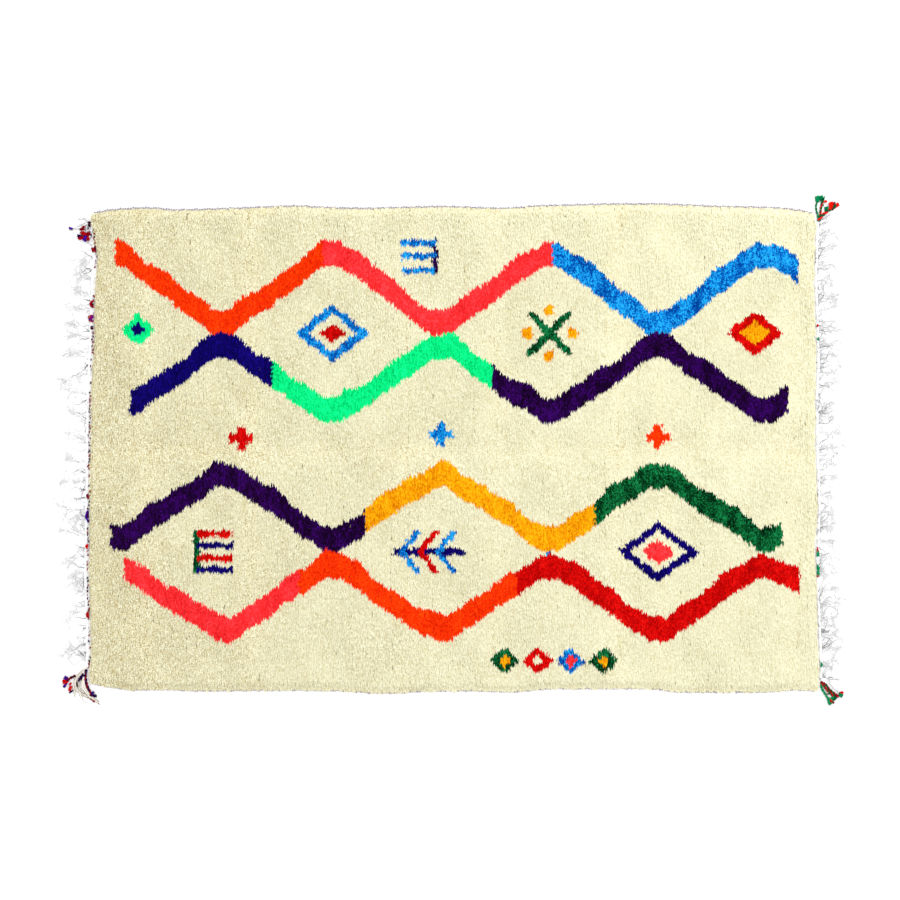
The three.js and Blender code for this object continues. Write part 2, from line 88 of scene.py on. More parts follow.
def linear(red: float, green: float, blue: float) -> Colour:
    """Turns a colour in steps of 0 to 255 into the linear one that a shader takes.

    Args:
        red: The red step.
        green: The green step.
        blue: The blue step.

    Returns:
        The linear colour, with an alpha of 1.
    """

    def channel(step: float) -> float:
        """Turns one channel's step into a linear value."""
        share = step / 255
        return share / 12.92 if share <= 0.04045 else ((share + 0.055) / 1.055) ** 2.4

    return channel(red), channel(green), channel(blue), 1.0


def ripple(x: Array, waves: Sequence[Pair]) -> Array:
    """Adds up a few sine waves.

    Args:
        x: Places along the waves.
        waves: The length and the start of each wave.

    Returns:
        A smooth, uneven value between about -1 and 1 for each place.
    """
    total = sum(np.sin(x * (TURN / length) + start) for length, start in waves)
    return total / len(waves)


def drift(x: Array, y: Array, size: float, start: float) -> Array:
    """Gives a soft, patchy value over the rug.

    Args:
        x: Places along the rug.
        y: Places across it.
        size: The usual size of a patch.
        start: Where the pattern of patches starts, so that two of them differ.

    Returns:
        A value between about -1 and 1 for each place.
    """
    # Odd factors keep the two bent waves from falling into step.
    bent_x = x / size + 1.7 * np.sin(y / (size * 1.3) + start)
    bent_y = y / size + 1.3 * np.sin(x / (size * 1.1) - 2 * start)
    return 0.5 * (np.sin(bent_x + 2.1 * start) + np.sin(bent_y + 0.7 * start))


def smooth_step(low: float, high: float, x: Array) -> Array:
    """Rises smoothly from 0 at one place to 1 at another.

    Args:
        low: Where it is still 0.
        high: Where it has reached 1.
        x: The places.

    Returns:
        The value at each place.
    """
    share = np.clip((x - low) / (high - low), 0, 1)
    return share * share * (3 - 2 * share)


def spaced(points: Array, rings: int) -> Array:
    """Spaces points evenly along a line of points.

    Args:
        points: The line.
        rings: How many points there shall be.

    Returns:
        The new points.
    """
    steps = np.linalg.norm(np.diff(points, axis=0), axis=1)
    places = np.concatenate([[0.0], np.cumsum(steps)])
    at = np.linspace(0, places[-1], rings)
    return np.stack([np.interp(at, places, axis) for axis in points.T], axis=1)


def wound(path: Array, reach: float | Array, pitch: float, start: float) -> Array:
    """Winds a yarn round a path.

    Args:
        path: The path's points.
        reach: How far the yarn's middle stays from the path.
        pitch: The length of one turn.
        start: The yarn's place round the path at its start, in radians.

    Returns:
        The yarn's points.
    """
    way = np.gradient(path, axis=0)
    way /= np.linalg.norm(way, axis=1, keepdims=True) + TINY
    side = np.cross(UP, way)
    side /= np.linalg.norm(side, axis=1, keepdims=True) + TINY
    upper = np.cross(way, side)
    steps = np.linalg.norm(np.diff(path, axis=0), axis=1)
    turn = start + TURN / pitch * np.concatenate([[0.0], np.cumsum(steps)])
    reach = np.broadcast_to(reach, turn.shape)
    return path + side * (reach * np.cos(turn))[:, None] + upper * (reach * np.sin(turn))[:, None]


def placed(name: str, data: bpy.types.ID) -> Piece:
    """Adds an object with some data to the scene."""
    thing = bpy.data.objects.new(name, data)
    bpy.context.scene.collection.objects.link(thing)
    return thing


class Signal:
    """A number that a shader socket carries. Sums and products of signals add the nodes they need."""

    def __init__(self, tree: bpy.types.NodeTree, socket: bpy.types.NodeSocket) -> None:
        """Wraps a socket.

        Args:
            tree: The node tree that the socket is in.
            socket: The output socket.
        """
        self.tree = tree
        self.socket = socket

    def maths(self, operation: str, *values: "Signal | float", clamp: bool = False) -> "Signal":
        """Adds one Math node.

        Args:
            operation: The node's operation.
            values: What its inputs take, in order.
            clamp: Whether the result is kept between 0 and 1.

        Returns:
            The node's result.
        """
        node = self.tree.nodes.new("ShaderNodeMath")
        node.operation = operation
        node.use_clamp = clamp
        for put, value in zip(node.inputs, values, strict=False):
            if isinstance(value, Signal):
                self.tree.links.new(value.socket, put)
            else:
                put.default_value = value
        return Signal(self.tree, node.outputs[0])

    def __add__(self, other: "Signal | float") -> "Signal":
        """Adds."""
        return self.maths("ADD", self, other)

    __radd__ = __add__

    def __sub__(self, other: "Signal | float") -> "Signal":
        """Subtracts."""
        return self.maths("SUBTRACT", self, other)

    def __rsub__(self, other: float) -> "Signal":
        """Subtracts from a plain number."""
        return self.maths("SUBTRACT", other, self)

    def __mul__(self, other: "Signal | float") -> "Signal":
        """Multiplies."""
        return self.maths("MULTIPLY", self, other)

    __rmul__ = __mul__

    def clamped(self) -> "Signal":
        """Keeps the signal between 0 and 1."""
        return self.maths("ADD", self, 0.0, clamp=True)

    def sine(self) -> "Signal":
        """Gives the sine."""
        return self.maths("SINE", self)


class Shader:
    """A material under construction: its node tree, its Principled shader and short ways to add nodes."""

    RELIEF_STRENGTH = 0.7
    SHEEN_ROUGHNESS = 0.6
    # The Mix node's inputs for a share and two colours, and its output for a colour.
    MIX_INPUTS = (0, 6, 7)
    MIX_OUTPUT = 2

    def __init__(self, name: str) -> None:
        """Starts a material that has only a Principled shader.

        Args:
            name: The material's name.
        """
        self.material = bpy.data.materials.new(name)
        self.material.use_nodes = True
        self.tree = self.material.node_tree
        self.principled = self.tree.nodes["Principled BSDF"]

    def node(self, kind: str, settings: dict[str, Any], inputs: dict[Any, Any]) -> bpy.types.Node:
        """Adds a node.

        Args:
            kind: The node's type.
            settings: Its own settings, which are set first.
            inputs: What its sockets take: a Signal, a socket or a plain value.

        Returns:
            The node.
        """
        node = self.tree.nodes.new(kind)
        for setting, value in settings.items():
            setattr(node, setting, value)
        for socket, value in inputs.items():
            put = node.inputs[socket]
            if isinstance(value, Signal):
                self.tree.links.new(value.socket, put)
            elif isinstance(value, bpy.types.NodeSocket):
                self.tree.links.new(value, put)
            else:
                put.default_value = value
        return node

    def signal(self, socket: bpy.types.NodeSocket) -> Signal:
        """Wraps one of this tree's sockets."""
        return Signal(self.tree, socket)

    def attribute(self, name: str) -> tuple[Signal, Signal, Signal]:
        """Reads the three numbers of a vector attribute.

        Args:
            name: The attribute's name.

        Returns:
            Its three numbers.
        """
        read = self.node("ShaderNodeAttribute", {"attribute_name": name}, {})
        split = self.node("ShaderNodeSeparateXYZ", {}, {0: read.outputs["Vector"]})
        return tuple(self.signal(socket) for socket in split.outputs)

    def lay(self) -> tuple[Signal, Signal]:
        """Reads the place on a yarn: metres along it, and turns round it."""
        read = self.node("ShaderNodeUVMap", {"uv_map": JoinedYarns.LAY}, {})
        split = self.node("ShaderNodeSeparateXYZ", {}, {0: read.outputs["UV"]})
        return self.signal(split.outputs[0]), self.signal(split.outputs[1])

    def noise(self, scale: float, detail: float = 2.0, stretch: Sequence[float] = (1, 1, 1)) -> Signal:
        """Adds noise on the object's own coordinates.

        Args:
            scale: Waves to a metre.
            detail: How many finer layers it has.
            stretch: How much finer it is along each axis.

        Returns:
            The noise, from 0 to 1.
        """
        place = self.node("ShaderNodeTexCoord", {}, {}).outputs["Object"]
        inputs = {"Vector": place, "Scale": tuple(stretch)}
        mapped = self.node("ShaderNodeMapping", {}, inputs)
        inputs = {"Vector": mapped.outputs[0], "Scale": scale, "Detail": detail}
        return self.signal(self.node("ShaderNodeTexNoise", {}, inputs).outputs[0])

    def mix(self, share: Signal | float, first: Any, second: Any) -> bpy.types.NodeSocket:
        """Mixes two colours.

        Args:
            share: How much of the second colour there is.
            first: The first colour or colour socket.
            second: The second colour or colour socket.

        Returns:
            The mixed colour's socket.
        """
        inputs = dict(zip(self.MIX_INPUTS, (share, first, second), strict=True))
        return self.node("ShaderNodeMix", {"data_type": "RGBA"}, inputs).outputs[self.MIX_OUTPUT]

    def finish(
        self, colour: bpy.types.NodeSocket, roughness: Signal, height: Signal, depth: float
    ) -> Material:
        """Links what varies over the surface to the shader.

        Args:
            colour: The base colour.
            roughness: The roughness.
            height: The height of the surface's fine relief, from 0 to 1.
            depth: The depth of that relief.

        Returns:
            The finished material.
        """
        bump_inputs = {"Height": height, "Distance": depth, "Strength": self.RELIEF_STRENGTH}
        bump = self.node("ShaderNodeBump", {}, bump_inputs)
        self.tree.links.new(colour, self.principled.inputs["Base Color"])
        self.tree.links.new(roughness.socket, self.principled.inputs["Roughness"])
        self.tree.links.new(bump.outputs[0], self.principled.inputs["Normal"])
        return self.material

    def woolly(self, gloss: float, sheen: float = 0.0) -> None:
        """Sets what is the same all over a yarn: little gloss, and the sheen of its loose fibres."""
        self.principled.inputs["Specular IOR Level"].default_value = gloss
        self.principled.inputs["Sheen Weight"].default_value = sheen
        self.principled.inputs["Sheen Roughness"].default_value = self.SHEEN_ROUGHNESS


class Yarn(Enum):
    """The dyed yarns of the pile, each with its name in the record."""

    IVORY = "ivory_pile"
    ORANGE = "orange_pile"
    CORAL = "coral_pile"
    AZURE = "azure_pile"
    NAVY = "navy_pile"
    SPRING = "spring_green_pile"
    VIOLET = "violet_pile"
    AMBER = "amber_pile"
    FOREST = "forest_green_pile"
    RED = "red_pile"


YARNS = tuple(Yarn)


@dataclass(frozen=True)
class PileFinish:
    """The finish of one yarn's pile.

    A tuft is painted darker at its foot than at its cut tip, as shade down in the pile; no two tufts took
    the dye alike, and the dye drifts in patches a hand wide. Worn places, the left end, and the folds and
    partings where shade is painted are duller. Colours are in steps of 0 to 255.
    """

    deep: Steps
    main: Steps
    light: Steps
    worn_and_shaded: Steps
    uneven: float
    patchy: float
    speckled: float

    ROUGHNESS = 0.86
    GLOSS = 0.03
    RELIEF = 0.0005
    # The scale of each noise, in waves to a metre, and how much finer the patches are along the rug.
    PATCHES = 19.0
    PATCH_STRETCH = (1.6, 0.7, 1.0)
    SPECKS = 190.0
    GRIT = 250.0
    FIBRES = 1500.0
    # How fast the painted shade at a tuft's foot fades along it, to a metre, and how dark it is.
    FOOT_FADE = 55.0
    FOOT_SHADE = 0.4
    # How dull wear and painted shade make the wool everywhere, and how much more in its gritty spots.
    WEAR_AND_SHADE_EVEN = 0.08
    WEAR_AND_SHADE_GRITTY = 7.5
    # The twist of the yarn's two plies, in radians to a metre and to a turn round the yarn.
    TWIST_ALONG = 900.0
    TWIST_AROUND = 2 * TURN

    def material(self, name: str) -> Material:
        """Builds the material.

        Args:
            name: The material's name.

        Returns:
            The material.
        """
        shader = Shader(name)
        shader.woolly(self.GLOSS)
        tone, wear_and_shade, _ = shader.attribute(JoinedYarns.FIBRE)
        along, around = shader.lay()
        patches = shader.noise(self.PATCHES, detail=3.0, stretch=self.PATCH_STRETCH)
        specks = shader.noise(self.SPECKS)
        grit = shader.noise(self.GRIT)
        up = (along * self.FOOT_FADE).clamped()
        deep, main, light, dulled = (
            linear(*steps) for steps in (self.deep, self.main, self.light, self.worn_and_shaded)
        )
        shade = self.uneven * tone + self.patchy * (patches - 0.5) + self.speckled * (specks - 0.5)
        lighter = shader.mix(shade.clamped(), main, light)
        dyed = shader.mix((0.0 - shade).clamped(), lighter, deep)
        # Painted shade: near its foot the tuft is mixed towards its deep colour, where the pile is in shade.
        foot_shaded = shader.mix((1.0 - up).clamped() * self.FOOT_SHADE, dyed, deep)
        # Worn places, the left end, and the painted shade in the folds and partings are mixed towards the
        # dull colour.
        dull = (wear_and_shade * (self.WEAR_AND_SHADE_EVEN + self.WEAR_AND_SHADE_GRITTY * (grit - 0.5))).clamped()
        worn_and_shaded = shader.mix(dull, foot_shaded, dulled)
        twist = (along * self.TWIST_ALONG + around * self.TWIST_AROUND).sine()
        fibres = shader.noise(self.FIBRES, detail=3.0)
        height = 0.5 + 0.2 * twist + 0.6 * (fibres - 0.5)
        roughness = self.ROUGHNESS + 0.12 * (specks - 0.5)
        return shader.finish(worn_and_shaded, roughness, height, self.RELIEF)


PILE_FINISHES = {
    Yarn.IVORY: PileFinish(
        deep=(206, 194, 146), main=(231, 230, 202),
        light=(245, 245, 223), worn_and_shaded=(176, 156, 106),
        uneven=0.1, patchy=0.6, speckled=3.0,
    ),
    Yarn.ORANGE: PileFinish(
        deep=(205, 26, 0), main=(250, 54, 2),
        light=(255, 80, 10), worn_and_shaded=(236, 50, 4),
        uneven=0.2, patchy=2.0, speckled=4.8,
    ),
    Yarn.CORAL: PileFinish(
        deep=(215, 28, 30), main=(251, 48, 50),
        light=(255, 78, 86), worn_and_shaded=(236, 44, 50),
        uneven=0.2, patchy=2.4, speckled=5.0,
    ),
    Yarn.AZURE: PileFinish(
        deep=(0, 60, 150), main=(6, 128, 214),
        light=(40, 188, 252), worn_and_shaded=(4, 112, 196),
        uneven=0.3, patchy=5.0, speckled=7.8,
    ),
    Yarn.NAVY: PileFinish(
        deep=(4, 0, 62), main=(12, 2, 100),
        light=(26, 8, 136), worn_and_shaded=(14, 6, 86),
        uneven=0.3, patchy=1.6, speckled=3.7,
    ),
    Yarn.SPRING: PileFinish(
        deep=(0, 190, 100), main=(4, 238, 138),
        light=(24, 255, 162), worn_and_shaded=(10, 216, 124),
        uneven=0.2, patchy=1.7, speckled=4.6,
    ),
    Yarn.VIOLET: PileFinish(
        deep=(16, 0, 24), main=(34, 2, 56),
        light=(62, 6, 112), worn_and_shaded=(34, 4, 50),
        uneven=0.3, patchy=3.6, speckled=6.0,
    ),
    Yarn.AMBER: PileFinish(
        deep=(206, 112, 0), main=(246, 170, 4),
        light=(255, 204, 22), worn_and_shaded=(228, 152, 6),
        uneven=0.25, patchy=2.2, speckled=4.1,
    ),
    Yarn.FOREST: PileFinish(
        deep=(0, 32, 12), main=(4, 78, 36),
        light=(22, 138, 76), worn_and_shaded=(6, 70, 34),
        uneven=0.35, patchy=5.0, speckled=7.8,
    ),
    Yarn.RED: PileFinish(
        deep=(158, 0, 0), main=(212, 4, 4),
        light=(240, 22, 16), worn_and_shaded=(186, 6, 6),
        uneven=0.25, patchy=2.2, speckled=5.0,
    ),
}


@dataclass(frozen=True)
class CordFinish:
    """The finish of plied yarns whose colours are stored on their points."""

    name: str
    plies: float
    lay_length: float
    shadow: Colour
    roughness: float
    relief: float
    depth: float = 1.0

    GLOSS = 0.05
    FIBRES = 1300.0

    def material(self) -> Material:
        """Builds the material: each yarn's own colour, with painted shade in the grooves between its plies.

        Returns:
            The material.
        """
        shader = Shader(self.name)
        shader.woolly(self.GLOSS)
        read = shader.node("ShaderNodeAttribute", {"attribute_name": JoinedYarns.DYE}, {})
        tone, wear_and_shade, _ = shader.attribute(JoinedYarns.FIBRE)
        along, around = shader.lay()
        turns = along * (TURN / self.lay_length) + around * (TURN * self.plies)
        ridge = 0.5 + 0.5 * turns.sine()
        fibres = shader.noise(self.FIBRES, detail=3.0)
        # Painted shade: the grooves between the plies are mixed towards the shadow colour, more with the
        # wear-and-shade value and less on light-toned yarns.
        darker = 0.34 - 0.5 * ridge + 0.35 * (fibres - 0.5) - 0.3 * tone + 0.4 * wear_and_shade
        groove_shade = (self.depth * darker).clamped()
        colour = shader.mix(groove_shade, read.outputs["Color"], self.shadow)
        roughness = self.roughness + 0.1 * (fibres - 0.5)
        height = 0.7 * ridge + 0.5 * (fibres - 0.5)
        return shader.finish(colour, roughness, height, self.relief)


@dataclass(frozen=True)
class GroundFinish:
    """The finish of the woven ground: knot backs in rows, with wefts between them."""

    name: str
    row: float
    knot: float
    weft: Colour = linear(226, 217, 190)
    dust: Colour = linear(176, 162, 128)

    GLOSS = 0.05
    SHEEN = 0.1
    FIBRES = 900.0
    PATCHES = 7.0
    RELIEF = 0.0012

    def material(self) -> Material:
        """Builds the material from the knots' colours, which are stored on the ground's faces.

        Returns:
            The material.
        """
        shader = Shader(self.name)
        shader.woolly(self.GLOSS, self.SHEEN)
        read = shader.node("ShaderNodeAttribute", {"attribute_name": JoinedYarns.DYE}, {})
        place = shader.node("ShaderNodeTexCoord", {}, {}).outputs["Object"]
        split = shader.node("ShaderNodeSeparateXYZ", {}, {0: place})
        rows = (shader.signal(split.outputs[0]) * (TURN / self.row)).sine()
        knots = (shader.signal(split.outputs[1]) * (TURN / self.knot)).sine()
        fibres = shader.noise(self.FIBRES, detail=3.0)
        patches = shader.noise(self.PATCHES, detail=3.0)
        weft = (0.5 - 1.4 * rows + 0.6 * (fibres - 0.5)).clamped()
        backs = shader.mix(weft, read.outputs["Color"], self.weft)
        dull = (0.25 + 0.5 * (patches - 0.5) + 0.5 * (fibres - 0.5)).clamped()
        colour = shader.mix(dull, backs, self.dust)
        height = 0.5 + 0.25 * rows + 0.2 * knots + 0.4 * (fibres - 0.5)
        return shader.finish(colour, 0.9 + 0.08 * (fibres - 0.5), height, self.RELIEF)


@dataclass(frozen=True)
class FloorFinish:
    """A plain pale floor."""

    name: str = "pale_floor"
    shaded: Colour = linear(250, 250, 251)
    bright: Colour = linear(252, 252, 252)

    HAZE = 0.8
    RELIEF = 0.0001

    def material(self) -> Material:
        """Builds the material.

        Returns:
            The material.
        """
        shader = Shader(self.name)
        haze = shader.noise(self.HAZE)
        colour = shader.mix(haze, self.shaded, self.bright)
        shader.principled.inputs["Specular IOR Level"].default_value = 0.0
        return shader.finish(colour, 0.9 + 0.02 * haze, haze, self.RELIEF)


class Tube:
    """A straight, closed tube of unit radius and unit length, from which each yarn is bent."""

    SAME_PLACE = 1e-4
    # Where the wall lies in the tube's cell of the bake map: its start and its reach, both ways.
    WALL_ALONG = (0.03, 0.8)
    WALL_AROUND = (0.04, 0.92)
    # Where the two caps lie in the cell: their middles, half-width and half-height.
    CAP_ACROSS = 0.915
    CAP_PLACES = (0.25, 0.75)
    CAP_WIDTH = 0.06
    CAP_HEIGHT = 0.2

    def __init__(self, sides: int, rings: int, pointed: bool = False) -> None:
        """Makes the tube.

        Args:
            sides: How many sides it has.
            rings: How many rings of points it has along its length.
            pointed: Whether it narrows to a point at its far end.
        """
        far = 0 if pointed else 1
        shape = bmesh.new()
        bmesh.ops.create_cone(
            shape, cap_ends=True, cap_tris=False, segments=sides, radius1=1, radius2=far, depth=1
        )
        bmesh.ops.remove_doubles(shape, verts=shape.verts[:], dist=self.SAME_PLACE)
        if rings > 2:
            long_edges = [edge for edge in shape.edges if edge.verts[0].co.z != edge.verts[1].co.z]
            bmesh.ops.subdivide_edges(shape, edges=long_edges, cuts=rings - 2, use_grid_fill=True)
        bmesh.ops.triangulate(shape, faces=shape.faces[:])
        bmesh.ops.recalc_face_normals(shape, faces=shape.faces[:])
        points = np.array([vertex.co[:] for vertex in shape.verts])
        self.faces = np.array([[vertex.index for vertex in face.verts] for face in shape.faces])
        shape.free()
        self.rings = rings
        self.across = points[:, 0]
        self.upwards = points[:, 1]
        self.along = points[:, 2] + 0.5
        self.ring = np.rint(self.along * (rings - 1)).astype(int)
        around = np.rint(np.arctan2(points[:, 1], points[:, 0]) / TURN * sides) / sides % 1.0
        self.corner_along = self.along[self.faces]
        self.caps = np.ptp(self.corner_along, axis=1) == 0
        tip = (self.corner_along > 1 - self.SAME_PLACE) & pointed
        turns = np.ma.masked_array(around[self.faces], tip)
        turns += (np.ptp(turns, axis=1) > 0.5)[:, None] & (turns < 0.5)
        self.corner_around = turns.filled(turns.mean(axis=1)[:, None])

    def cell(self) -> Array:
        """Lays the tube's faces out flat in one square cell: the wall on the left, the caps on the right.

        Returns:
            The place in the cell of each corner of each face.
        """
        start, reach = np.array([self.WALL_ALONG, self.WALL_AROUND]).T
        wall = start + reach * np.stack([self.corner_along, self.corner_around], axis=-1)
        low, high = self.CAP_PLACES
        middle = np.where(self.corner_along > 0.5, high, low)
        across = self.CAP_ACROSS + self.CAP_WIDTH * self.across[self.faces]
        cap = np.stack([across, middle + self.CAP_HEIGHT * self.upwards[self.faces]], axis=-1)
        return np.where(self.caps[:, None, None], cap, wall)

    def bend(self, paths: Array, radii: Array, roll: Array | float = 0.0) -> Array:
        """Bends copies of the tube along paths.

        Args:
            paths: For each copy, a point for each of its rings.
            radii: For each copy and ring, the half-width and the half-height of its section.
            roll: How far each ring is turned about the path, in radians.

        Returns:
            The points of each copy.
        """
        ways = np.gradient(paths, axis=1)
        ways /= np.linalg.norm(ways, axis=2, keepdims=True) + TINY
        sides = np.cross(UP, ways)
        lengths = np.linalg.norm(sides, axis=2, keepdims=True)
        sides = np.where(lengths > self.SAME_PLACE, sides / (lengths + TINY), np.array([1.0, 0.0, 0.0]))
        uppers = np.cross(ways, sides)
        turn = np.broadcast_to(np.asarray(roll, dtype=float), paths.shape[:2])[:, self.ring]
        wide = radii[:, self.ring, 0] * (self.across * np.cos(turn) - self.upwards * np.sin(turn))
        high = radii[:, self.ring, 1] * (self.across * np.sin(turn) + self.upwards * np.cos(turn))
        return (
            paths[:, self.ring]
            + sides[:, self.ring] * wide[..., None]
            + uppers[:, self.ring] * high[..., None]
        )


@dataclass
class Batch:
    """Some bent copies of one tube, with what their materials read: tone, wear and painted shade, and the
    dye.
    """

    tube: Tube
    points: Array
    lengths: Array
    fibre: Array
    dye: Array


class JoinedYarns:
    """Many bent tubes, joined into one mesh."""

    FIBRE = "fibre"
    DYE = "dye"
    LAY = "Lay"
    BAKE = "OFBake"

    def __init__(self, name: str) -> None:
        """Starts an empty piece.

        Args:
            name: The piece's name.
        """
        self.name = name
        self.batches: list[Batch] = []

    def add(
        self,
        tube: Tube,
        paths: Array,
        radii: Array,
        roll: Array | float = 0.0,
        tone: Array | float = 0.0,
        wear_and_shade: Array | float = 0.0,
        dye: Array | Sequence[float] = (1.0, 1.0, 1.0, 1.0),
    ) -> None:
        """Adds bent copies of a tube.

        Args:
            tube: The tube.
            paths: For each copy, a point for each ring, from the middle of the field.
            radii: For each copy and ring, the half-width and half-height of its section.
            roll: How far each ring is turned, in radians.
            tone: How light or dark each copy is, about 0.
            wear_and_shade: How worn each copy is, and how much shade is painted on it, from 0 to 1.
            dye: The colour of each copy.
        """
        copies = len(paths)
        steps = np.linalg.norm(np.diff(paths, axis=1), axis=2)
        fibre = np.zeros((copies, 3))
        fibre[:, 0] = tone
        fibre[:, 1] = wear_and_shade
        colours = np.broadcast_to(np.asarray(dye, dtype=float), (copies, 4))
        points = tube.bend(paths, radii, roll)
        points[..., :2] += FIELD_CENTRE
        self.batches.append(Batch(tube, points, steps.sum(axis=1), fibre, colours))

    def _cells(self, columns: int) -> Array:
        """Gives every copy a cell of its own in the bake map, in rows of so many columns."""
        total = sum(len(batch.points) for batch in self.batches)
        rows = math.ceil(total / columns)
        places = []
        first = 0
        for batch in self.batches:
            copies = len(batch.points)
            number = np.arange(first, first + copies)
            corner = np.stack([number % columns, number // columns], axis=-1)[:, None, None, :]
            cell = corner + batch.tube.cell()[None]
            places.append((cell / np.array([columns, rows])).reshape(-1, 2))
            first += copies
        return np.concatenate(places)

    def _lay(self) -> Array:
        """Gives each corner its metres along its yarn and its turns round it."""
        places = []
        for batch in self.batches:
            tube = batch.tube
            along = batch.lengths[:, None, None] * tube.corner_along[None]
            around = np.broadcast_to(tube.corner_around[None], along.shape)
            places.append(np.stack([along, around], axis=-1).reshape(-1, 2))
        return np.concatenate(places)

    def piece(
        self, material: Material, columns: int, smooth: bool = True
    ) -> Piece:
        """Joins the copies into one object.

        Args:
            material: The material.
            columns: How many cells the bake map has in a row.
            smooth: Whether its faces are shaded smooth.

        Returns:
            The object.
        """
        points = np.concatenate([batch.points.reshape(-1, 3) for batch in self.batches])
        faces = []
        first = 0
        for batch in self.batches:
            copies, size = batch.points.shape[:2]
            starts = first + size * np.arange(copies)
            faces.append((starts[:, None, None] + batch.tube.faces[None]).reshape(-1, 3))
            first += copies * size
        corners = np.concatenate(faces).ravel()
        mesh = bpy.data.meshes.new(self.name)
        mesh.vertices.add(len(points))
        mesh.vertices.foreach_set("co", points.astype(np.float32).ravel())
        mesh.loops.add(len(corners))
        mesh.loops.foreach_set("vertex_index", corners.astype(np.int32))
        mesh.polygons.add(len(corners) // 3)
        mesh.polygons.foreach_set("loop_start", np.arange(0, len(corners), 3, dtype=np.int32))
        mesh.polygons.foreach_set("use_smooth", np.full(len(corners) // 3, smooth))
        mesh.update(calc_edges=True)
        for name, places in ((self.BAKE, self._cells(columns)), (self.LAY, self._lay())):
            layer = mesh.uv_layers.new(name=name)
            layer.uv.foreach_set("vector", places.astype(np.float32).ravel())
        self._store(mesh, self.FIBRE, "FLOAT_VECTOR", "vector", "fibre")
        self._store(mesh, self.DYE, "FLOAT_COLOR", "color", "dye")
        mesh.materials.append(material)
        thing = placed(self.name, mesh)
        return thing

    def _store(self, mesh: bpy.types.Mesh, name: str, kind: str, key: str, source: str) -> None:
        """Stores what a batch holds for each copy on every point of that copy."""
        values = [
            np.repeat(getattr(batch, source), batch.points.shape[1], axis=0) for batch in self.batches
        ]
        attribute = mesh.attributes.new(name, kind, "POINT")
        attribute.data.foreach_set(key, np.concatenate(values).astype(np.float32).ravel())


class End(Enum):
    """The rug's two ends, each with the way that leads out of it along X."""

    LEFT = -1
    RIGHT = 1


class Rim:
    """The outline of the knotted field, read from the frame."""

    ON_FLOOR = 1e-4
    MARGIN = 0.06

    def __init__(self, node: Piece) -> None:
        """Sorts the points where the field meets the floor into its four sides.

        Args:
            node: The field's node.
        """
        raw = np.empty(3 * len(node.data.vertices), dtype=np.float32)
        node.data.vertices.foreach_get("co", raw)
        points = raw.reshape(-1, 3).astype(float)
        floor = np.unique(np.round(points[points[:, 2] < self.ON_FLOOR, :2], 6), axis=0) - FIELD_CENTRE
        half = np.array([FIELD_LENGTH, FIELD_WIDTH]) / 2 - self.MARGIN
        floor = floor[(np.abs(floor) > half).any(axis=1)]
        loop = floor[np.argsort(np.arctan2(floor[:, 1], floor[:, 0]))]
        corners = {
            (side, end): int(np.argmax(side * loop[:, 0] + end * loop[:, 1]))
            for side in (-1, 1)
            for end in (-1, 1)
        }
        self._front = self._run(loop, corners[-1, -1], corners[1, -1])
        self._back = self._run(loop, corners[1, 1], corners[-1, 1])
        self._ends = {
            End.LEFT: self._run(loop, corners[-1, 1], corners[-1, -1]),
            End.RIGHT: self._run(loop, corners[1, -1], corners[1, 1]),
        }

    @staticmethod
    def _run(loop: Array, first: int, last: int) -> Array:
        """Cuts the points between two corners out of the loop, both included."""
        count = (last - first) % len(loop) + 1
        return loop[(first + np.arange(count)) % len(loop)]

    @staticmethod
    def _read(run: Array, axis: int, at: Array) -> Array:
        """Reads the other coordinate of a side at places along an axis."""
        order = np.argsort(run[:, axis])
        return np.interp(at, run[order, axis], run[order, 1 - axis])

    def front(self, x: Array) -> Array:
        """Gives the front edge's Y at places along the rug."""
        return self._read(self._front, 0, x)

    def back(self, x: Array) -> Array:
        """Gives the back edge's Y at places along the rug."""
        return self._read(self._back, 0, x)

    def at(self, end: End, y: Array) -> Array:
        """Gives the X of one of the ends at places across the rug."""
        return self._read(self._ends[end], 1, y)

    def place(self, u: Array, v: Array) -> tuple[Array, Array]:
        """Finds places inside the outline.

        Args:
            u: Shares of the way from the left end to the right end.
            v: Shares of the way from the front edge to the back edge.

        Returns:
            Their X and Y, from the middle of the field.
        """
        x = (u - 0.5) * FIELD_LENGTH
        y = (v - 0.5) * FIELD_WIDTH
        across = self.at(End.LEFT, y) * (1 - u) + self.at(End.RIGHT, y) * u
        upwards = self.front(x) * (1 - v) + self.back(x) * v
        return across, upwards


@dataclass(frozen=True)
class Fold:
    """A soft trough where the rug was folded for a long time."""

    at: float
    depth: float
    spread: float

    def dip(self, place: Array) -> Array:
        """Gives the trough's depth at places across it."""
        return self.depth * np.exp(-(((place - self.at) / self.spread) ** 2))


@dataclass(frozen=True)
class Patch:
    """A duller or stained patch that fades out from its middle."""

    x: float
    y: float
    half_length: float
    half_width: float
    depth: float

    def strength(self, x: Array, y: Array) -> Array:
        """Gives how strong the patch is at places on the rug."""
        far = ((x - self.x) / self.half_length) ** 2 + ((y - self.y) / self.half_width) ** 2
        return self.depth * np.exp(-far)


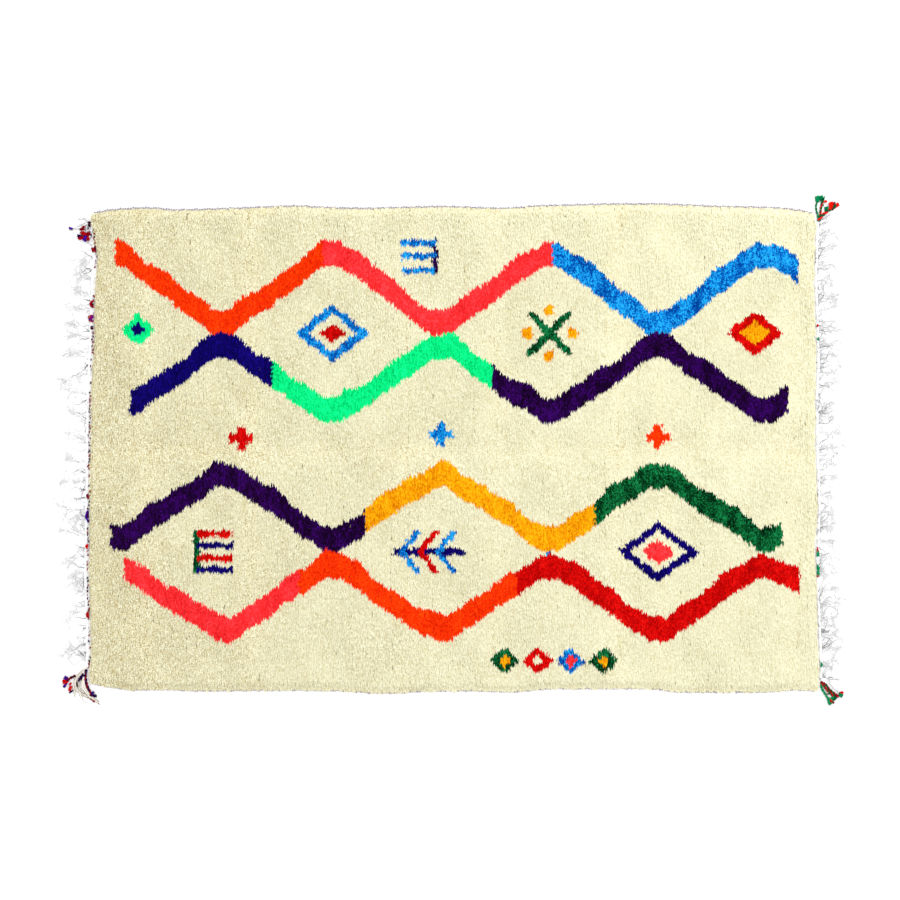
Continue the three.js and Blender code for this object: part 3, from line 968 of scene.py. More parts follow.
@dataclass(frozen=True)
class PileTop:
    """The height of the pile over the field, with its lumps and old folds, and where it is painted duller:
    worn, and shaded in its folds and partings.
    """

    top: float = 0.016
    cross_folds: tuple[Fold, ...] = (
        Fold(-1.01, 0.002, 0.042),
        Fold(-0.674, 0.003, 0.036),
        Fold(-0.143, 0.002, 0.04),
        Fold(0.139, 0.002, 0.04),
        Fold(0.554, 0.003, 0.036),
        Fold(0.69, 0.0022, 0.034),
        Fold(1.12, 0.002, 0.036),
    )
    length_fold: Fold = Fold(0.005, 0.003, 0.038)
    partings: tuple[float, ...] = (-0.674, -0.153, 0.139, 0.182, 0.502, 0.554, 0.611, 0.677, 1.15)
    parting_width: float = 0.0034
    parting_bend: float = 0.004
    # How much painted shade lies along the partings.
    parting_shade: float = 0.55
    lump_height: float = 0.001
    # How much painted shade lies in the folds, for each metre of their depth.
    fold_shade: float = 70.0
    dull_corner: Patch = Patch(-1.1, -0.62, 0.22, 0.3, 0.3)
    stain: Patch = Patch(-0.232, -0.048, 0.018, 0.018, 0.5)

    def folds(self, x: Array, y: Array) -> Array:
        """Adds up the depth of the folds at places on the rug."""
        return sum(fold.dip(x) for fold in self.cross_folds) + self.length_fold.dip(y)

    def height(self, x: Array, y: Array) -> Array:
        """Gives the height of the pile above the floor at places on the rug."""
        lumps = (
            0.7 * np.sin(x / 0.031 + 1.3 * np.sin(y / 0.053))
            + 0.7 * np.sin(y / 0.037 + 1.7 * np.sin(x / 0.061))
            + 0.5 * np.sin((x + y) / 0.083)
        )
        return self.top - self.folds(x, y) + self.lump_height * lumps

    def parted(self, x: Array, y: Array) -> Array:
        """Gives how far the pile broke open along the thin lines of the folds, from 0 to 1, where painted
        shade marks the partings.
        """
        lines = np.zeros_like(x)
        for number, line in enumerate(self.partings):
            away = (x - line - self.parting_bend * np.sin(y / 0.19 + number)) / self.parting_width
            broken = smooth_step(-0.1, 0.5, ripple(y + number, ((0.61, 0.0), (0.23, 1.0), (0.09, 2.0))))
            lines = lines + np.exp(-away * away) * broken
        return lines

    def wear_and_shade(self, x: Array, y: Array) -> Array:
        """Gives how dull the pile is painted, from 0 to 1: most at the left end and its front corner, with
        painted shade in the folds and partings.
        """
        end = 0.46 * np.clip((0.9 - x) / 2.1, 0, 1) ** 1.6 + 0.28 * np.clip((-x - 1.0) / 0.16, 0, 1)
        marks = self.dull_corner.strength(x, y) + self.stain.strength(x, y)
        # Painted shade: the folds and the partings are made duller, as the pile there lies in shade.
        creases = self.folds(x, y) * self.fold_shade
        patches = 0.1 * (1 + drift(x, y, 0.09, 1.3)) * np.clip(0.6 - x / 1.6, 0.1, 1)
        patches = patches + 0.06 * np.clip((0.6 - y) / 0.8, 0, 1)
        lines = self.parting_shade * self.parted(x, y)
        return np.clip(end + marks + creases + patches + lines, 0, 0.9)


class Chart:
    """The rug's chart: which yarn each knot is tied in."""

    def __init__(self, x: Array, y: Array) -> None:
        """Starts with ivory everywhere.

        Args:
            x: The knots' places along the rug, from the middle of the field.
            y: Their places across it.
        """
        self.x = x
        self.y = y
        self.yarn = np.zeros(x.shape, dtype=int)

    def paint(self, where: Array, yarn: Yarn) -> None:
        """Ties the knots in a region in one yarn."""
        self.yarn[where] = YARNS.index(yarn)


@dataclass(frozen=True)
class Zigzag:
    """A thick zigzag line along the rug, in blocks of colour."""

    middle: float
    swing: float
    peak: float
    repeat: float
    start: float
    stop: float
    waves: tuple[Pair, ...]
    blocks: tuple[tuple[float, Yarn], ...]
    thickness: float = 0.084
    bluntness: float = 0.86
    wander: float = 0.011
    swell: float = 0.1

    def centre(self, x: Array) -> Array:
        """Gives the line's Y: straight runs between blunt corners, a little unsteady as hand work is."""
        phase = np.abs((x - self.peak) / self.repeat % 1.0 - 0.5)
        run = np.clip(4 * phase - 1, -self.bluntness, self.bluntness) / self.bluntness
        return self.middle + self.swing * run + self.wander * ripple(x, self.waves)

    def paint(self, chart: Chart) -> None:
        """Ties the line into the chart."""
        half = self.thickness / 2 * (1 + self.swell * ripple(chart.x, self.waves[::-1]))
        ends = (chart.x > self.start) & (chart.x < self.stop)
        line = (np.abs(chart.y - self.centre(chart.x)) < half) & ends
        start = self.start
        for stop, yarn in self.blocks:
            chart.paint(line & (chart.x >= start) & (chart.x < stop), yarn)
            start = stop


@dataclass(frozen=True)
class Lozenge:
    """Lozenges one inside the other, each with its own yarn."""

    x: float
    y: float
    half_length: float
    half_width: float
    rings: tuple[tuple[float, Yarn], ...]

    def paint(self, chart: Chart) -> None:
        """Ties the lozenges into the chart, the outer one first."""
        far = np.abs(chart.x - self.x) / self.half_length + np.abs(chart.y - self.y) / self.half_width
        for share, yarn in self.rings:
            chart.paint(far < share, yarn)


@dataclass(frozen=True)
class Bar:
    """A straight bar along or across the rug."""

    x: float
    y: float
    length: float
    width: float
    yarn: Yarn

    def paint(self, chart: Chart) -> None:
        """Ties the bar into the chart."""
        inside = np.abs(chart.x - self.x) < self.length / 2
        chart.paint(inside & (np.abs(chart.y - self.y) < self.width / 2), self.yarn)


@dataclass(frozen=True)
class Comb:
    """A comb: a spine across the rug, with teeth that all point one way."""

    x: float
    y: float
    spine: float
    tooth: float
    teeth: tuple[Yarn, ...]
    back: Yarn
    line: float = 0.02

    def paint(self, chart: Chart) -> None:
        """Ties the comb into the chart."""
        Bar(self.x, self.y, self.line, self.spine, self.back).paint(chart)
        pitch = (self.spine - self.line) / (len(self.teeth) - 1)
        reach = abs(self.tooth)
        for step, yarn in enumerate(self.teeth):
            y = self.y - (self.spine - self.line) / 2 + step * pitch
            Bar(self.x + self.tooth / 2, y, reach, self.line, yarn).paint(chart)


@dataclass(frozen=True)
class Saltire:
    """A slanting cross with a dot in each of its four corners."""

    x: float
    y: float
    reach: float
    line: float
    yarn: Yarn
    dots: Yarn
    dot: float = 0.03

    def paint(self, chart: Chart) -> None:
        """Ties the cross and its dots into the chart."""
        dx = np.abs(chart.x - self.x)
        dy = np.abs(chart.y - self.y)
        chart.paint((np.abs(dx - dy) < self.line) & (dx < self.reach) & (dy < self.reach), self.yarn)
        for side in (-1, 1):
            Bar(self.x + side * self.reach, self.y, self.dot, self.dot, self.dots).paint(chart)
            Bar(self.x, self.y + side * self.reach, self.dot, self.dot, self.dots).paint(chart)


@dataclass(frozen=True)
class Chevrons:
    """A row of chevrons on a stem, like a young tree."""

    x: float
    y: float
    pitch: float
    half_width: float
    line: float
    yarns: tuple[Yarn, ...]
    stem: Yarn
    slant: float = 0.8

    def paint(self, chart: Chart) -> None:
        """Ties the stem and its chevrons into the chart."""
        length = self.pitch * len(self.yarns)
        Bar(self.x + length / 2, self.y, length + self.pitch, self.line, self.stem).paint(chart)
        dy = np.abs(chart.y - self.y)
        for step, yarn in enumerate(self.yarns):
            bend = chart.x - (self.x + step * self.pitch) - self.slant * dy
            chart.paint((np.abs(bend) < self.line / 2) & (dy < self.half_width), yarn)


@dataclass(frozen=True)
class Design:
    """The whole design: two chains of large lozenges made by zigzag lines, and small old motifs."""

    zigzags: tuple[Zigzag, ...] = (
        Zigzag(
            middle=0.545, swing=-0.115, peak=-0.76, repeat=0.72, start=-1.12, stop=1.145,
            waves=((0.41, 0.3), (0.23, 1.9), (0.13, 4.0)),
            blocks=((-0.43, Yarn.ORANGE), (0.33, Yarn.CORAL), (1.2, Yarn.AZURE)),
        ),
        Zigzag(
            middle=0.245, swing=0.105, peak=-0.76, repeat=0.72, start=-1.07, stop=1.11,
            waves=((0.37, 2.3), (0.21, 0.4), (0.12, 1.1)),
            blocks=((-0.6, Yarn.NAVY), (0.13, Yarn.SPRING), (1.2, Yarn.VIOLET)),
        ),
        Zigzag(
            middle=-0.18, swing=-0.105, peak=-0.4, repeat=0.72, start=-1.135, stop=1.09,
            waves=((0.39, 5.3), (0.19, 2.4), (0.11, 3.1)),
            blocks=((-0.29, Yarn.VIOLET), (0.47, Yarn.AMBER), (1.2, Yarn.FOREST)),
        ),
        Zigzag(
            middle=-0.48, swing=0.105, peak=-0.4, repeat=0.72, start=-1.09, stop=1.15,
            waves=((0.43, 1.3), (0.25, 3.4), (0.12, 5.1)),
            blocks=((-0.51, Yarn.CORAL), (0.21, Yarn.ORANGE), (1.2, Yarn.RED)),
        ),
    )
    motifs: tuple[Lozenge | Bar | Comb | Saltire | Chevrons, ...] = (
        Lozenge(-0.4, 0.395, 0.125, 0.095, ((1, Yarn.AZURE), (0.66, Yarn.IVORY), (0.36, Yarn.RED))),
        Saltire(0.32, 0.395, 0.075, 0.016, Yarn.FOREST, Yarn.AMBER),
        Lozenge(1.000, 0.395, 0.095, 0.075, ((1, Yarn.RED), (0.55, Yarn.AMBER))),
        Lozenge(-1.045, 0.405, 0.06, 0.055, ((1, Yarn.SPRING), (0.45, Yarn.NAVY))),
        Comb(-0.85, -0.33, 0.14, 0.12, (Yarn.NAVY, Yarn.RED, Yarn.NAVY, Yarn.RED), Yarn.FOREST),
        Chevrons(-0.17, -0.33, 0.06, 0.07, 0.022, (Yarn.AZURE, Yarn.RED, Yarn.AZURE), Yarn.NAVY),
        Lozenge(0.68, -0.33, 0.135, 0.1, ((1, Yarn.NAVY), (0.7, Yarn.IVORY), (0.4, Yarn.CORAL))),
        Lozenge(0.17, -0.69, 0.05, 0.045, ((1, Yarn.FOREST), (0.4, Yarn.AMBER))),
        Lozenge(0.28, -0.69, 0.05, 0.045, ((1, Yarn.RED), (0.4, Yarn.IVORY))),
        Lozenge(0.39, -0.69, 0.05, 0.045, ((1, Yarn.AZURE), (0.4, Yarn.CORAL))),
        Lozenge(0.5, -0.69, 0.05, 0.045, ((1, Yarn.FOREST), (0.4, Yarn.AMBER))),
        Comb(-0.06, 0.65, 0.11, -0.11, (Yarn.AZURE, Yarn.AZURE, Yarn.AZURE), Yarn.VIOLET),
        Bar(-0.7, 0.045, 0.03, 0.08, Yarn.RED),
        Bar(-0.7, 0.045, 0.08, 0.03, Yarn.RED),
        Bar(-0.04, 0.06, 0.026, 0.075, Yarn.AZURE),
        Bar(-0.04, 0.06, 0.075, 0.026, Yarn.AZURE),
        Bar(0.68, 0.05, 0.03, 0.08, Yarn.ORANGE),
        Bar(0.68, 0.05, 0.08, 0.03, Yarn.ORANGE),
        Bar(-0.4, -0.33, 0.018, 0.06, Yarn.AZURE),
        Bar(0.32, -0.33, 0.018, 0.06, Yarn.AZURE),
        Bar(-0.76, 0.395, 0.018, 0.06, Yarn.AZURE),
        Bar(0.68, 0.395, 0.018, 0.06, Yarn.AMBER),
    )

    def yarns(self, x: Array, y: Array) -> Array:
        """Finds the yarn of each knot.

        Args:
            x: The knots' places along the rug, from the middle of the field.
            y: Their places across it.

        Returns:
            The number of each knot's yarn in YARNS.
        """
        chart = Chart(x, y)
        for motif in self.motifs:
            motif.paint(chart)
        for zigzag in self.zigzags:
            zigzag.paint(chart)
        return chart.yarn


@dataclass
class KnottedPile:
    """The pile: rows of knots across the warps, each with two yarn ends that lie towards the front.

    A yarn end tapers to its cut tip and has its flat side up, so that the ends of three rows lie over each
    other like thatch and close the pile's surface.
    """

    rim: Rim
    top: PileTop
    design: Design
    rng: Generator
    row_pitch: float = 0.008
    knot_pitch: float = 0.007
    end_apart: float = 0.002
    foot: float = 0.008
    foot_at_rim: float = 0.004
    lean: float = 0.017
    lean_uneven: float = 0.0014
    end_width: float = 0.006
    end_height: float = 0.003
    overhang: float = 0.0048
    fan_at_ends: float = 0.002
    ragged_ends: Pair = (0.004, 0.0056)
    drop_at_rim: float = 0.006
    lowest: float = 0.0012
    inset_at_ends: Pair = (0.011, 0.004)
    ivory_pieces: int = 4
    # How unevenly the rows are beaten down and the knots tied, along the rug and across it.
    row_slip: float = 0.0008
    scatter: Pair = (0.0013, 0.0009)
    row_wave: float = 0.0016
    step_wave: float = 0.004
    dye_scatter: Pair = (0.0016, 0.0012)
    foot_scatter: Pair = (0.0003, 0.0008)
    fan: float = 0.0008
    sweep: float = 0.002
    side_sweep: float = 0.001
    girth_uneven: float = 0.1
    roll_uneven: float = 0.2
    ruffled_by_wear_and_shade: float = 1.6
    # The front hem's raggedness: its scatter, a wave for single knots, and waves that go by rows.
    hem_scatter: float = 0.0024
    hem_wave: tuple[float, float, float] = (0.002, 0.013, 2.6)
    hem_rows: tuple[tuple[float, float, float], ...] = ((0.0026, 0.0036, 1.1), (0.0018, 0.0017, 0.3))

    def knots(self) -> tuple[Array, Array, Array]:
        """Ties the knots.

        Returns:
            The knots' X and Y from the middle of the field, and their yarns.
        """
        rows = round(FIELD_LENGTH / self.row_pitch)
        knots = round(FIELD_WIDTH / self.knot_pitch)
        row_slip = self.rng.normal(0, self.row_slip, rows)
        u = ((np.arange(rows) + 0.5) / rows)[:, None] + row_slip[:, None] / FIELD_LENGTH
        v = ((np.arange(knots) + 0.5) / knots)[None, :]
        v = v + self.rng.uniform(-0.5, 0.5, (rows, 1)) * self.knot_pitch / FIELD_WIDTH
        u, v = np.broadcast_arrays(u, v)
        x, y = self.rim.place(u, v)
        x = x + self.rng.normal(0, self.scatter[0], x.shape) + self.row_wave * drift(x, y, 0.045, 0.4)
        y = y + self.rng.normal(0, self.scatter[1], x.shape)
        steps = self.step_wave * drift(x, y, 0.011, 3.1)
        chart_x = x + self.rng.normal(0, self.dye_scatter[0], x.shape)
        chart_y = y + steps + self.rng.normal(0, self.dye_scatter[1], x.shape)
        return x.ravel(), y.ravel(), self.design.yarns(chart_x, chart_y).ravel()

    def build(self) -> list[Piece]:
        """Models the yarn ends, in one piece for each yarn, and ivory in several.

        Returns:
            The pieces.
        """
        x, y, yarn = self.knots()
        tube = Tube(3, 2, pointed=True)
        pieces = []
        for number, dyed in enumerate(YARNS):
            chosen = yarn == number
            parts = self.ivory_pieces if dyed is Yarn.IVORY else 1
            material = PILE_FINISHES[dyed].material(dyed.value)
            limits = np.quantile(x[chosen], np.linspace(0, 1, parts + 1))
            for part in range(parts):
                inside = chosen & (x >= limits[part]) & ((x < limits[part + 1]) | (part == parts - 1))
                name = dyed.value if parts == 1 else f"{dyed.value}_{part + 1}"
                yarns = JoinedYarns(name)
                self._tuft(yarns, tube, x[inside], y[inside])
                columns = math.ceil(math.sqrt(2 * inside.sum()))
                piece = yarns.piece(material, columns, smooth=False)
                pieces.append(piece)
        return pieces

    def _hem(self, x: Array, y: Array, front: Array) -> Array:
        """Gives how far to the front each yarn end may reach, in a ragged line."""
        depth, size, start = self.hem_wave
        hem = front - self.overhang + self.rng.normal(0, self.hem_scatter, len(x))
        hem = hem + depth * drift(x, y, size, start)
        for depth, size, start in self.hem_rows:
            hem = hem + depth * drift(x, 0 * y, size, start)
        return hem

    def _tuft(self, yarns: JoinedYarns, tube: Tube, x: Array, y: Array) -> None:
        """Adds two yarn ends for each knot."""
        count = len(x)
        rng = self.rng
        sweep = drift(x, y, 0.12, 2.2)
        side_sweep = drift(x, y, 0.16, 0.9)
        wear_and_shade = self.top.wear_and_shade(x, y)
        ruffle = 1 + self.ruffled_by_wear_and_shade * wear_and_shade
        from_left = x - self.rim.at(End.LEFT, y)
        from_right = self.rim.at(End.RIGHT, y) - x
        from_back = self.rim.back(x) - y
        front = self.rim.front(x)
        upright = 0.7 + 0.3 * smooth_step(0.0, 0.024 + 0.008 * sweep, from_back)
        at_left = 1 - smooth_step(0.0, 0.02, from_left)
        at_right = 1 - smooth_step(0.0, 0.02, from_right)
        ragged = self.ragged_ends[0] * at_left + self.ragged_ends[1] * at_right
        held = 0.35 + 0.65 * smooth_step(0.02, 0.12, np.minimum(y - front, from_back))
        x = x + self.inset_at_ends[0] * held * (1 - smooth_step(0.0, 0.03, from_left))
        x = x - self.inset_at_ends[1] * (1 - smooth_step(0.0, 0.03, from_right))
        for side in (-1, 1):
            foot_x = x + side * self.end_apart + rng.normal(0, self.foot_scatter[0], count)
            foot_y = y + rng.normal(0, self.foot_scatter[1], count)
            lean = self.lean + self.sweep * sweep + rng.normal(0, self.lean_uneven, count) * ruffle
            tip_y = np.maximum(foot_y - lean * upright, self._hem(x, y, front))
            fan = side * self.fan + rng.normal(0, self.fan, count) * ruffle + self.side_sweep * side_sweep
            fan = fan + self.fan_at_ends * (at_right - at_left) + ragged * rng.normal(0, 1, count)
            tip_x = foot_x + fan
            inside = np.minimum(np.minimum(from_left, from_right), np.minimum(tip_y - front, from_back))
            drop = self.drop_at_rim * (1 - smooth_step(-0.006, 0.016, inside))
            height = self.top.height(x, y) - rng.gamma(1.2, 0.0007, count) * ruffle - drop
            height = np.maximum(height, self.lowest)
            raised = smooth_step(0.0, 0.016, np.minimum(foot_y - front, inside))
            foot_z = self.foot_at_rim + (self.foot - self.foot_at_rim) * raised
            foot = np.stack([foot_x, foot_y, foot_z], axis=-1)
            tip = np.stack([tip_x, tip_y, height], axis=-1)
            girth = rng.normal(1.0, self.girth_uneven, count)
            radii = np.empty((count, 2, 2))
            radii[..., 0] = (self.end_width * girth)[:, None]
            radii[..., 1] = (self.end_height * girth)[:, None]
            roll = np.pi + rng.normal(0, self.roll_uneven, (count, 1)) * ruffle[:, None]
            tone = rng.normal(0, 1.0, count) * ruffle
            yarns.add(tube, np.stack([foot, tip], axis=1), radii, roll=roll, tone=tone, wear_and_shade=wear_and_shade)


@dataclass
class Ground:
    """The woven ground under the pile: a thin flat sheet, whose underside shows the backs of the knots."""

    rim: Rim
    design: Design
    thickness: float = 0.003
    cell: float = 0.012
    inset: Pair = (0.004, 0.001)
    bare: float = 0.02
    # Where the underside and the top start in the bake map, and how high each is there.
    bake_rows: Pair = (0.0, 0.51)
    bake_height: float = 0.48
    finish: GroundFinish = GroundFinish("woven_ground", row=0.008, knot=0.007)

    def build(self) -> Piece:
        """Models the sheet as a grid that is drawn to the rim and given its thickness.

        Returns:
            The sheet.
        """
        columns = round(FIELD_LENGTH / self.cell)
        rows = round(FIELD_WIDTH / self.cell)
        shape = bmesh.new()
        bmesh.ops.create_grid(shape, x_segments=columns, y_segments=rows, size=0.5)
        grid = np.array([vertex.co[:2] for vertex in shape.verts]) + 0.5
        inset = np.array(self.inset) / (FIELD_LENGTH, FIELD_WIDTH)
        u, v = (inset + grid * (1 - 2 * inset)).T
        x, y = self.rim.place(u, v)
        for vertex, across, upwards in zip(shape.verts, x, y, strict=True):
            vertex.co = (across + FIELD_CENTRE[0], upwards + FIELD_CENTRE[1], 0)
        under = shape.faces[:]
        extruded = bmesh.ops.extrude_face_region(shape, geom=under, use_keep_orig=True)
        raised = [item for item in extruded["geom"] if isinstance(item, bmesh.types.BMVert)]
        bmesh.ops.translate(shape, verts=raised, vec=(0, 0, self.thickness))
        bmesh.ops.recalc_face_normals(shape, faces=shape.faces[:])
        shape.verts.index_update()
        points = [vertex.co[:] for vertex in shape.verts]
        rings = [[corner.index for corner in face.verts] for face in shape.faces]
        shape.free()
        # The extrusion leaves faces and corners in any order, so both are sorted to be the same each run.
        firsts = [ring.index(min(ring)) for ring in rings]
        rings = sorted(ring[first:] + ring[:first] for ring, first in zip(rings, firsts, strict=True))
        mesh = bpy.data.meshes.new("woven_ground")
        mesh.from_pydata(points, [], rings)
        self._dress(mesh)
        thing = placed("woven_ground", mesh)
        return thing

    def _dress(self, mesh: bpy.types.Mesh) -> None:
        """Gives the sheet its bake map, with the two sides apart, and its yarns' colours on its faces."""
        low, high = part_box(FIELD_NODE)
        span = np.array([high[0] - low[0], high[1] - low[1]])
        palette = np.array([linear(*PILE_FINISHES[yarn].main) for yarn in YARNS])
        centres = np.array([face.center[:] for face in mesh.polygons])
        x, y = (centres[:, :2] - FIELD_CENTRE).T
        yarns = self.design.yarns(x, y)
        from_ends = np.minimum(x - self.rim.at(End.LEFT, y), self.rim.at(End.RIGHT, y) - x)
        bare = from_ends < self.bare
        mesh.uv_layers.new(name=JoinedYarns.BAKE)
        mesh.color_attributes.new(JoinedYarns.DYE, "FLOAT_COLOR", "CORNER")
        # A new layer moves the others, so both are made before either is filled.
        bake = mesh.uv_layers[JoinedYarns.BAKE]
        dye = mesh.color_attributes[JoinedYarns.DYE]
        for face, yarn, warps in zip(mesh.polygons, yarns, bare, strict=True):
            start = self.bake_rows[0 if face.normal.z < 0 else 1]
            for loop in face.loop_indices:
                place = mesh.vertices[mesh.loops[loop].vertex_index].co
                across = (place.x - low[0]) / span[0]
                upwards = (place.y - low[1]) / span[1]
                bake.uv[loop].vector = (across, self.bake_height * upwards + start)
                dye.data[loop].color = WHITE_WARP if warps else palette[yarn]
        mesh.materials.append(self.finish.material())


WHITE_WARP = linear(240, 240, 242)
BRIGHT_WARP = linear(254, 254, 255)
CREAM_WARP = linear(250, 244, 230)
# A grey that stands in for shade: the shadow side of the white cords.
SHADED_WARP = linear(134, 130, 128)
# A dark grey that stands in for the shade between and beside a tassel's warps.
PAINTED_SHADE_WARP = linear(112, 104, 100)
LOOSE_WARPS = (linear(247, 247, 247), linear(241, 241, 240), linear(226, 226, 226))
# The two grey stray dyes are painted shade: white yarns greyed as if their sides were in shadow.
STRAY_WARPS_AND_SHADE = (linear(225, 225, 226), linear(188, 187, 190), linear(98, 94, 98))
PALE_WOOL = linear(234, 231, 229)
OVERCAST_WOOL = linear(206, 201, 208)
GREY_TWINE = linear(176, 172, 178)
RED_TWINE = linear(200, 6, 6)
SCARLET_TWINE = linear(232, 22, 6)
CRIMSON_TWINE = linear(132, 2, 12)
RUBY_TWINE = linear(166, 4, 14)
VIOLET_TWINE = linear(64, 8, 140)
INK_TWINE = linear(40, 6, 70)
DARK_TWINE = linear(56, 6, 30)
GREEN_TWINE = linear(2, 140, 84)
BOTTLE_TWINE = linear(0, 84, 48)


@dataclass(frozen=True)
class Bunch:
    """A knotted bunch of warps, in millimetres.

    It grows at its root's place across the rug and reaches out from the heading. Its tip drifts along the
    end, its middle bows, and its cords may part into a loop.
    """

    root: float
    reach: float
    drift: float
    bow: float
    loop: float = 0.0


LEFT_BUNCHES = (
    Bunch(640, 40, -16, 8),
    Bunch(559, 60, 24, -10),
    Bunch(509, 48, 22, 5),
    Bunch(460, 58, 10, -6),
    Bunch(417, 74, 10, 9),
    Bunch(372, 70, 2, 0),
    Bunch(330, 84, -6, 14, loop=8),
    Bunch(272, 90, -46, 8),
    Bunch(187, 88, 26, 5),
    Bunch(118, 54, 20, 12),
    Bunch(28, 84, 26, -10),
    Bunch(-46, 72, 12, -5),
    Bunch(-89, 92, -4, 14, loop=8),
    Bunch(-195, 98, 14, 8),
    Bunch(-251, 36, 26, -12, loop=7),
    Bunch(-291, 88, 20, -10),
    Bunch(-341, 78, -34, 6),
    Bunch(-408, 32, -12, -10, loop=8),
    Bunch(-481, 46, 42, -8),
    Bunch(-512, 54, -46, -10),
    Bunch(-647, 96, -36, 8),
    Bunch(-700, 66, 30, -12, loop=7),
)
RIGHT_BUNCH_COUNT = 29
RIGHT_ROOTS = (716, -716)


def wander(count: float) -> float:
    """Gives a repeatable number from 0 to 1 for a count."""
    value = math.sin(count * 12.9898) * 43758.5453
    return value - math.floor(value)


def right_bunches() -> tuple[Bunch, ...]:
    """Lists the finer bunches of the right end, most of which lean towards the back."""
    first, last = RIGHT_ROOTS
    bunches = []
    for number in range(RIGHT_BUNCH_COUNT):
        root = first + (last - first) * number / (RIGHT_BUNCH_COUNT - 1)
        bunches.append(
            Bunch(
                root=root + 10 * (wander(number + 1) - 0.5),
                reach=46 + 24 * wander(number + 31),
                drift=-3 + 22 * wander(number + 61),
                bow=-6 + 12 * wander(number + 91),
                loop=5 * wander(number + 121),
            )
        )
    return tuple(bunches)


@dataclass(frozen=True)
class Curl:
    """How far loose yarns bend round over their length, and how much they wobble, in radians."""

    bend: float
    wobble: float

    def follow(
        self, start: Array, turn: Array, length: Array, rings: int, rng: Generator
    ) -> Array:
        """Follows yarns over the floor in small steps.

        Args:
            start: Where each yarn starts.
            turn: The way in which each sets out, in radians.
            length: The length of each.
            rings: How many points each has.
            rng: The source of their differences.

        Returns:
            The X and Y of each yarn's points.
        """
        count = len(turn)
        share = np.linspace(0, 1, rings)[None]
        phase = rng.uniform(0, TURN, (count, 1))
        waves = rng.uniform(0.7, 2.0, (count, 1))
        wave = np.sin(TURN * waves * share + phase) - np.sin(phase) * (1 - share)
        way = turn[:, None] + self.bend * rng.normal(0, 1, (count, 1)) * share + self.wobble * wave
        steps = np.stack([np.cos(way), np.sin(way)], axis=-1) * (length / (rings - 1))[:, None, None]
        steps[:, 0] = 0
        return start[:, None] + np.cumsum(steps, axis=1)


def lifted(flat: Array, height: Array) -> Array:
    """Adds heights to places on the floor."""
    return np.concatenate([flat, np.broadcast_to(height, flat.shape[:-1])[..., None]], axis=-1)


@dataclass
class Selvedge:
    """An overcast edge: warps at the side of the field, wrapped in pale and grey wool."""

    rim: Rim
    name: str
    back: bool
    finish: CordFinish
    out: float = 0.0034
    wobble: float = 0.0026
    wobbles: tuple[Pair, ...] = ((0.041, 0.7), (0.023, 1.9), (0.014, 0.4))
    wrapped: float = 0.16
    uneven: float = 0.24
    half_width: float = 0.0025
    half_height: float = 0.0024
    inset: float = 0.01
    wrap_pitch: float = 0.009
    ring_pitch: float = 0.003

    def build(self) -> Piece:
        """Models the edge.

        Returns:
            The edge.
        """
        edge = self.rim.back if self.back else self.rim.front
        side = 1 if self.back else -1
        ends = [self.rim.at(end, np.array([side * FIELD_WIDTH / 2]))[0] for end in End]
        rings = round(FIELD_LENGTH / self.ring_pitch)
        x = np.linspace(ends[0] + self.inset, ends[1] - self.inset, rings)
        y = edge(x) + side * (self.out + self.wobble * ripple(x, self.wobbles))
        wraps = np.sin(TURN * x / self.wrap_pitch + 2.0 * ripple(x, ((0.11, 0.2), (0.07, 1.4))))
        lumps = ripple(x, ((0.031, 0.3), (0.019, 1.1), (0.053, 2.0)))
        girth = 1 + self.wrapped * wraps + self.uneven * lumps
        path = np.stack([x, y, self.half_height * girth], axis=1)
        radii = np.stack([self.half_width * girth, self.half_height * girth], axis=1)
        yarns = JoinedYarns(self.name)
        yarns.add(Tube(6, rings), path[None], radii[None], dye=OVERCAST_WOOL)
        piece = yarns.piece(self.finish.material(), columns=1)
        return piece


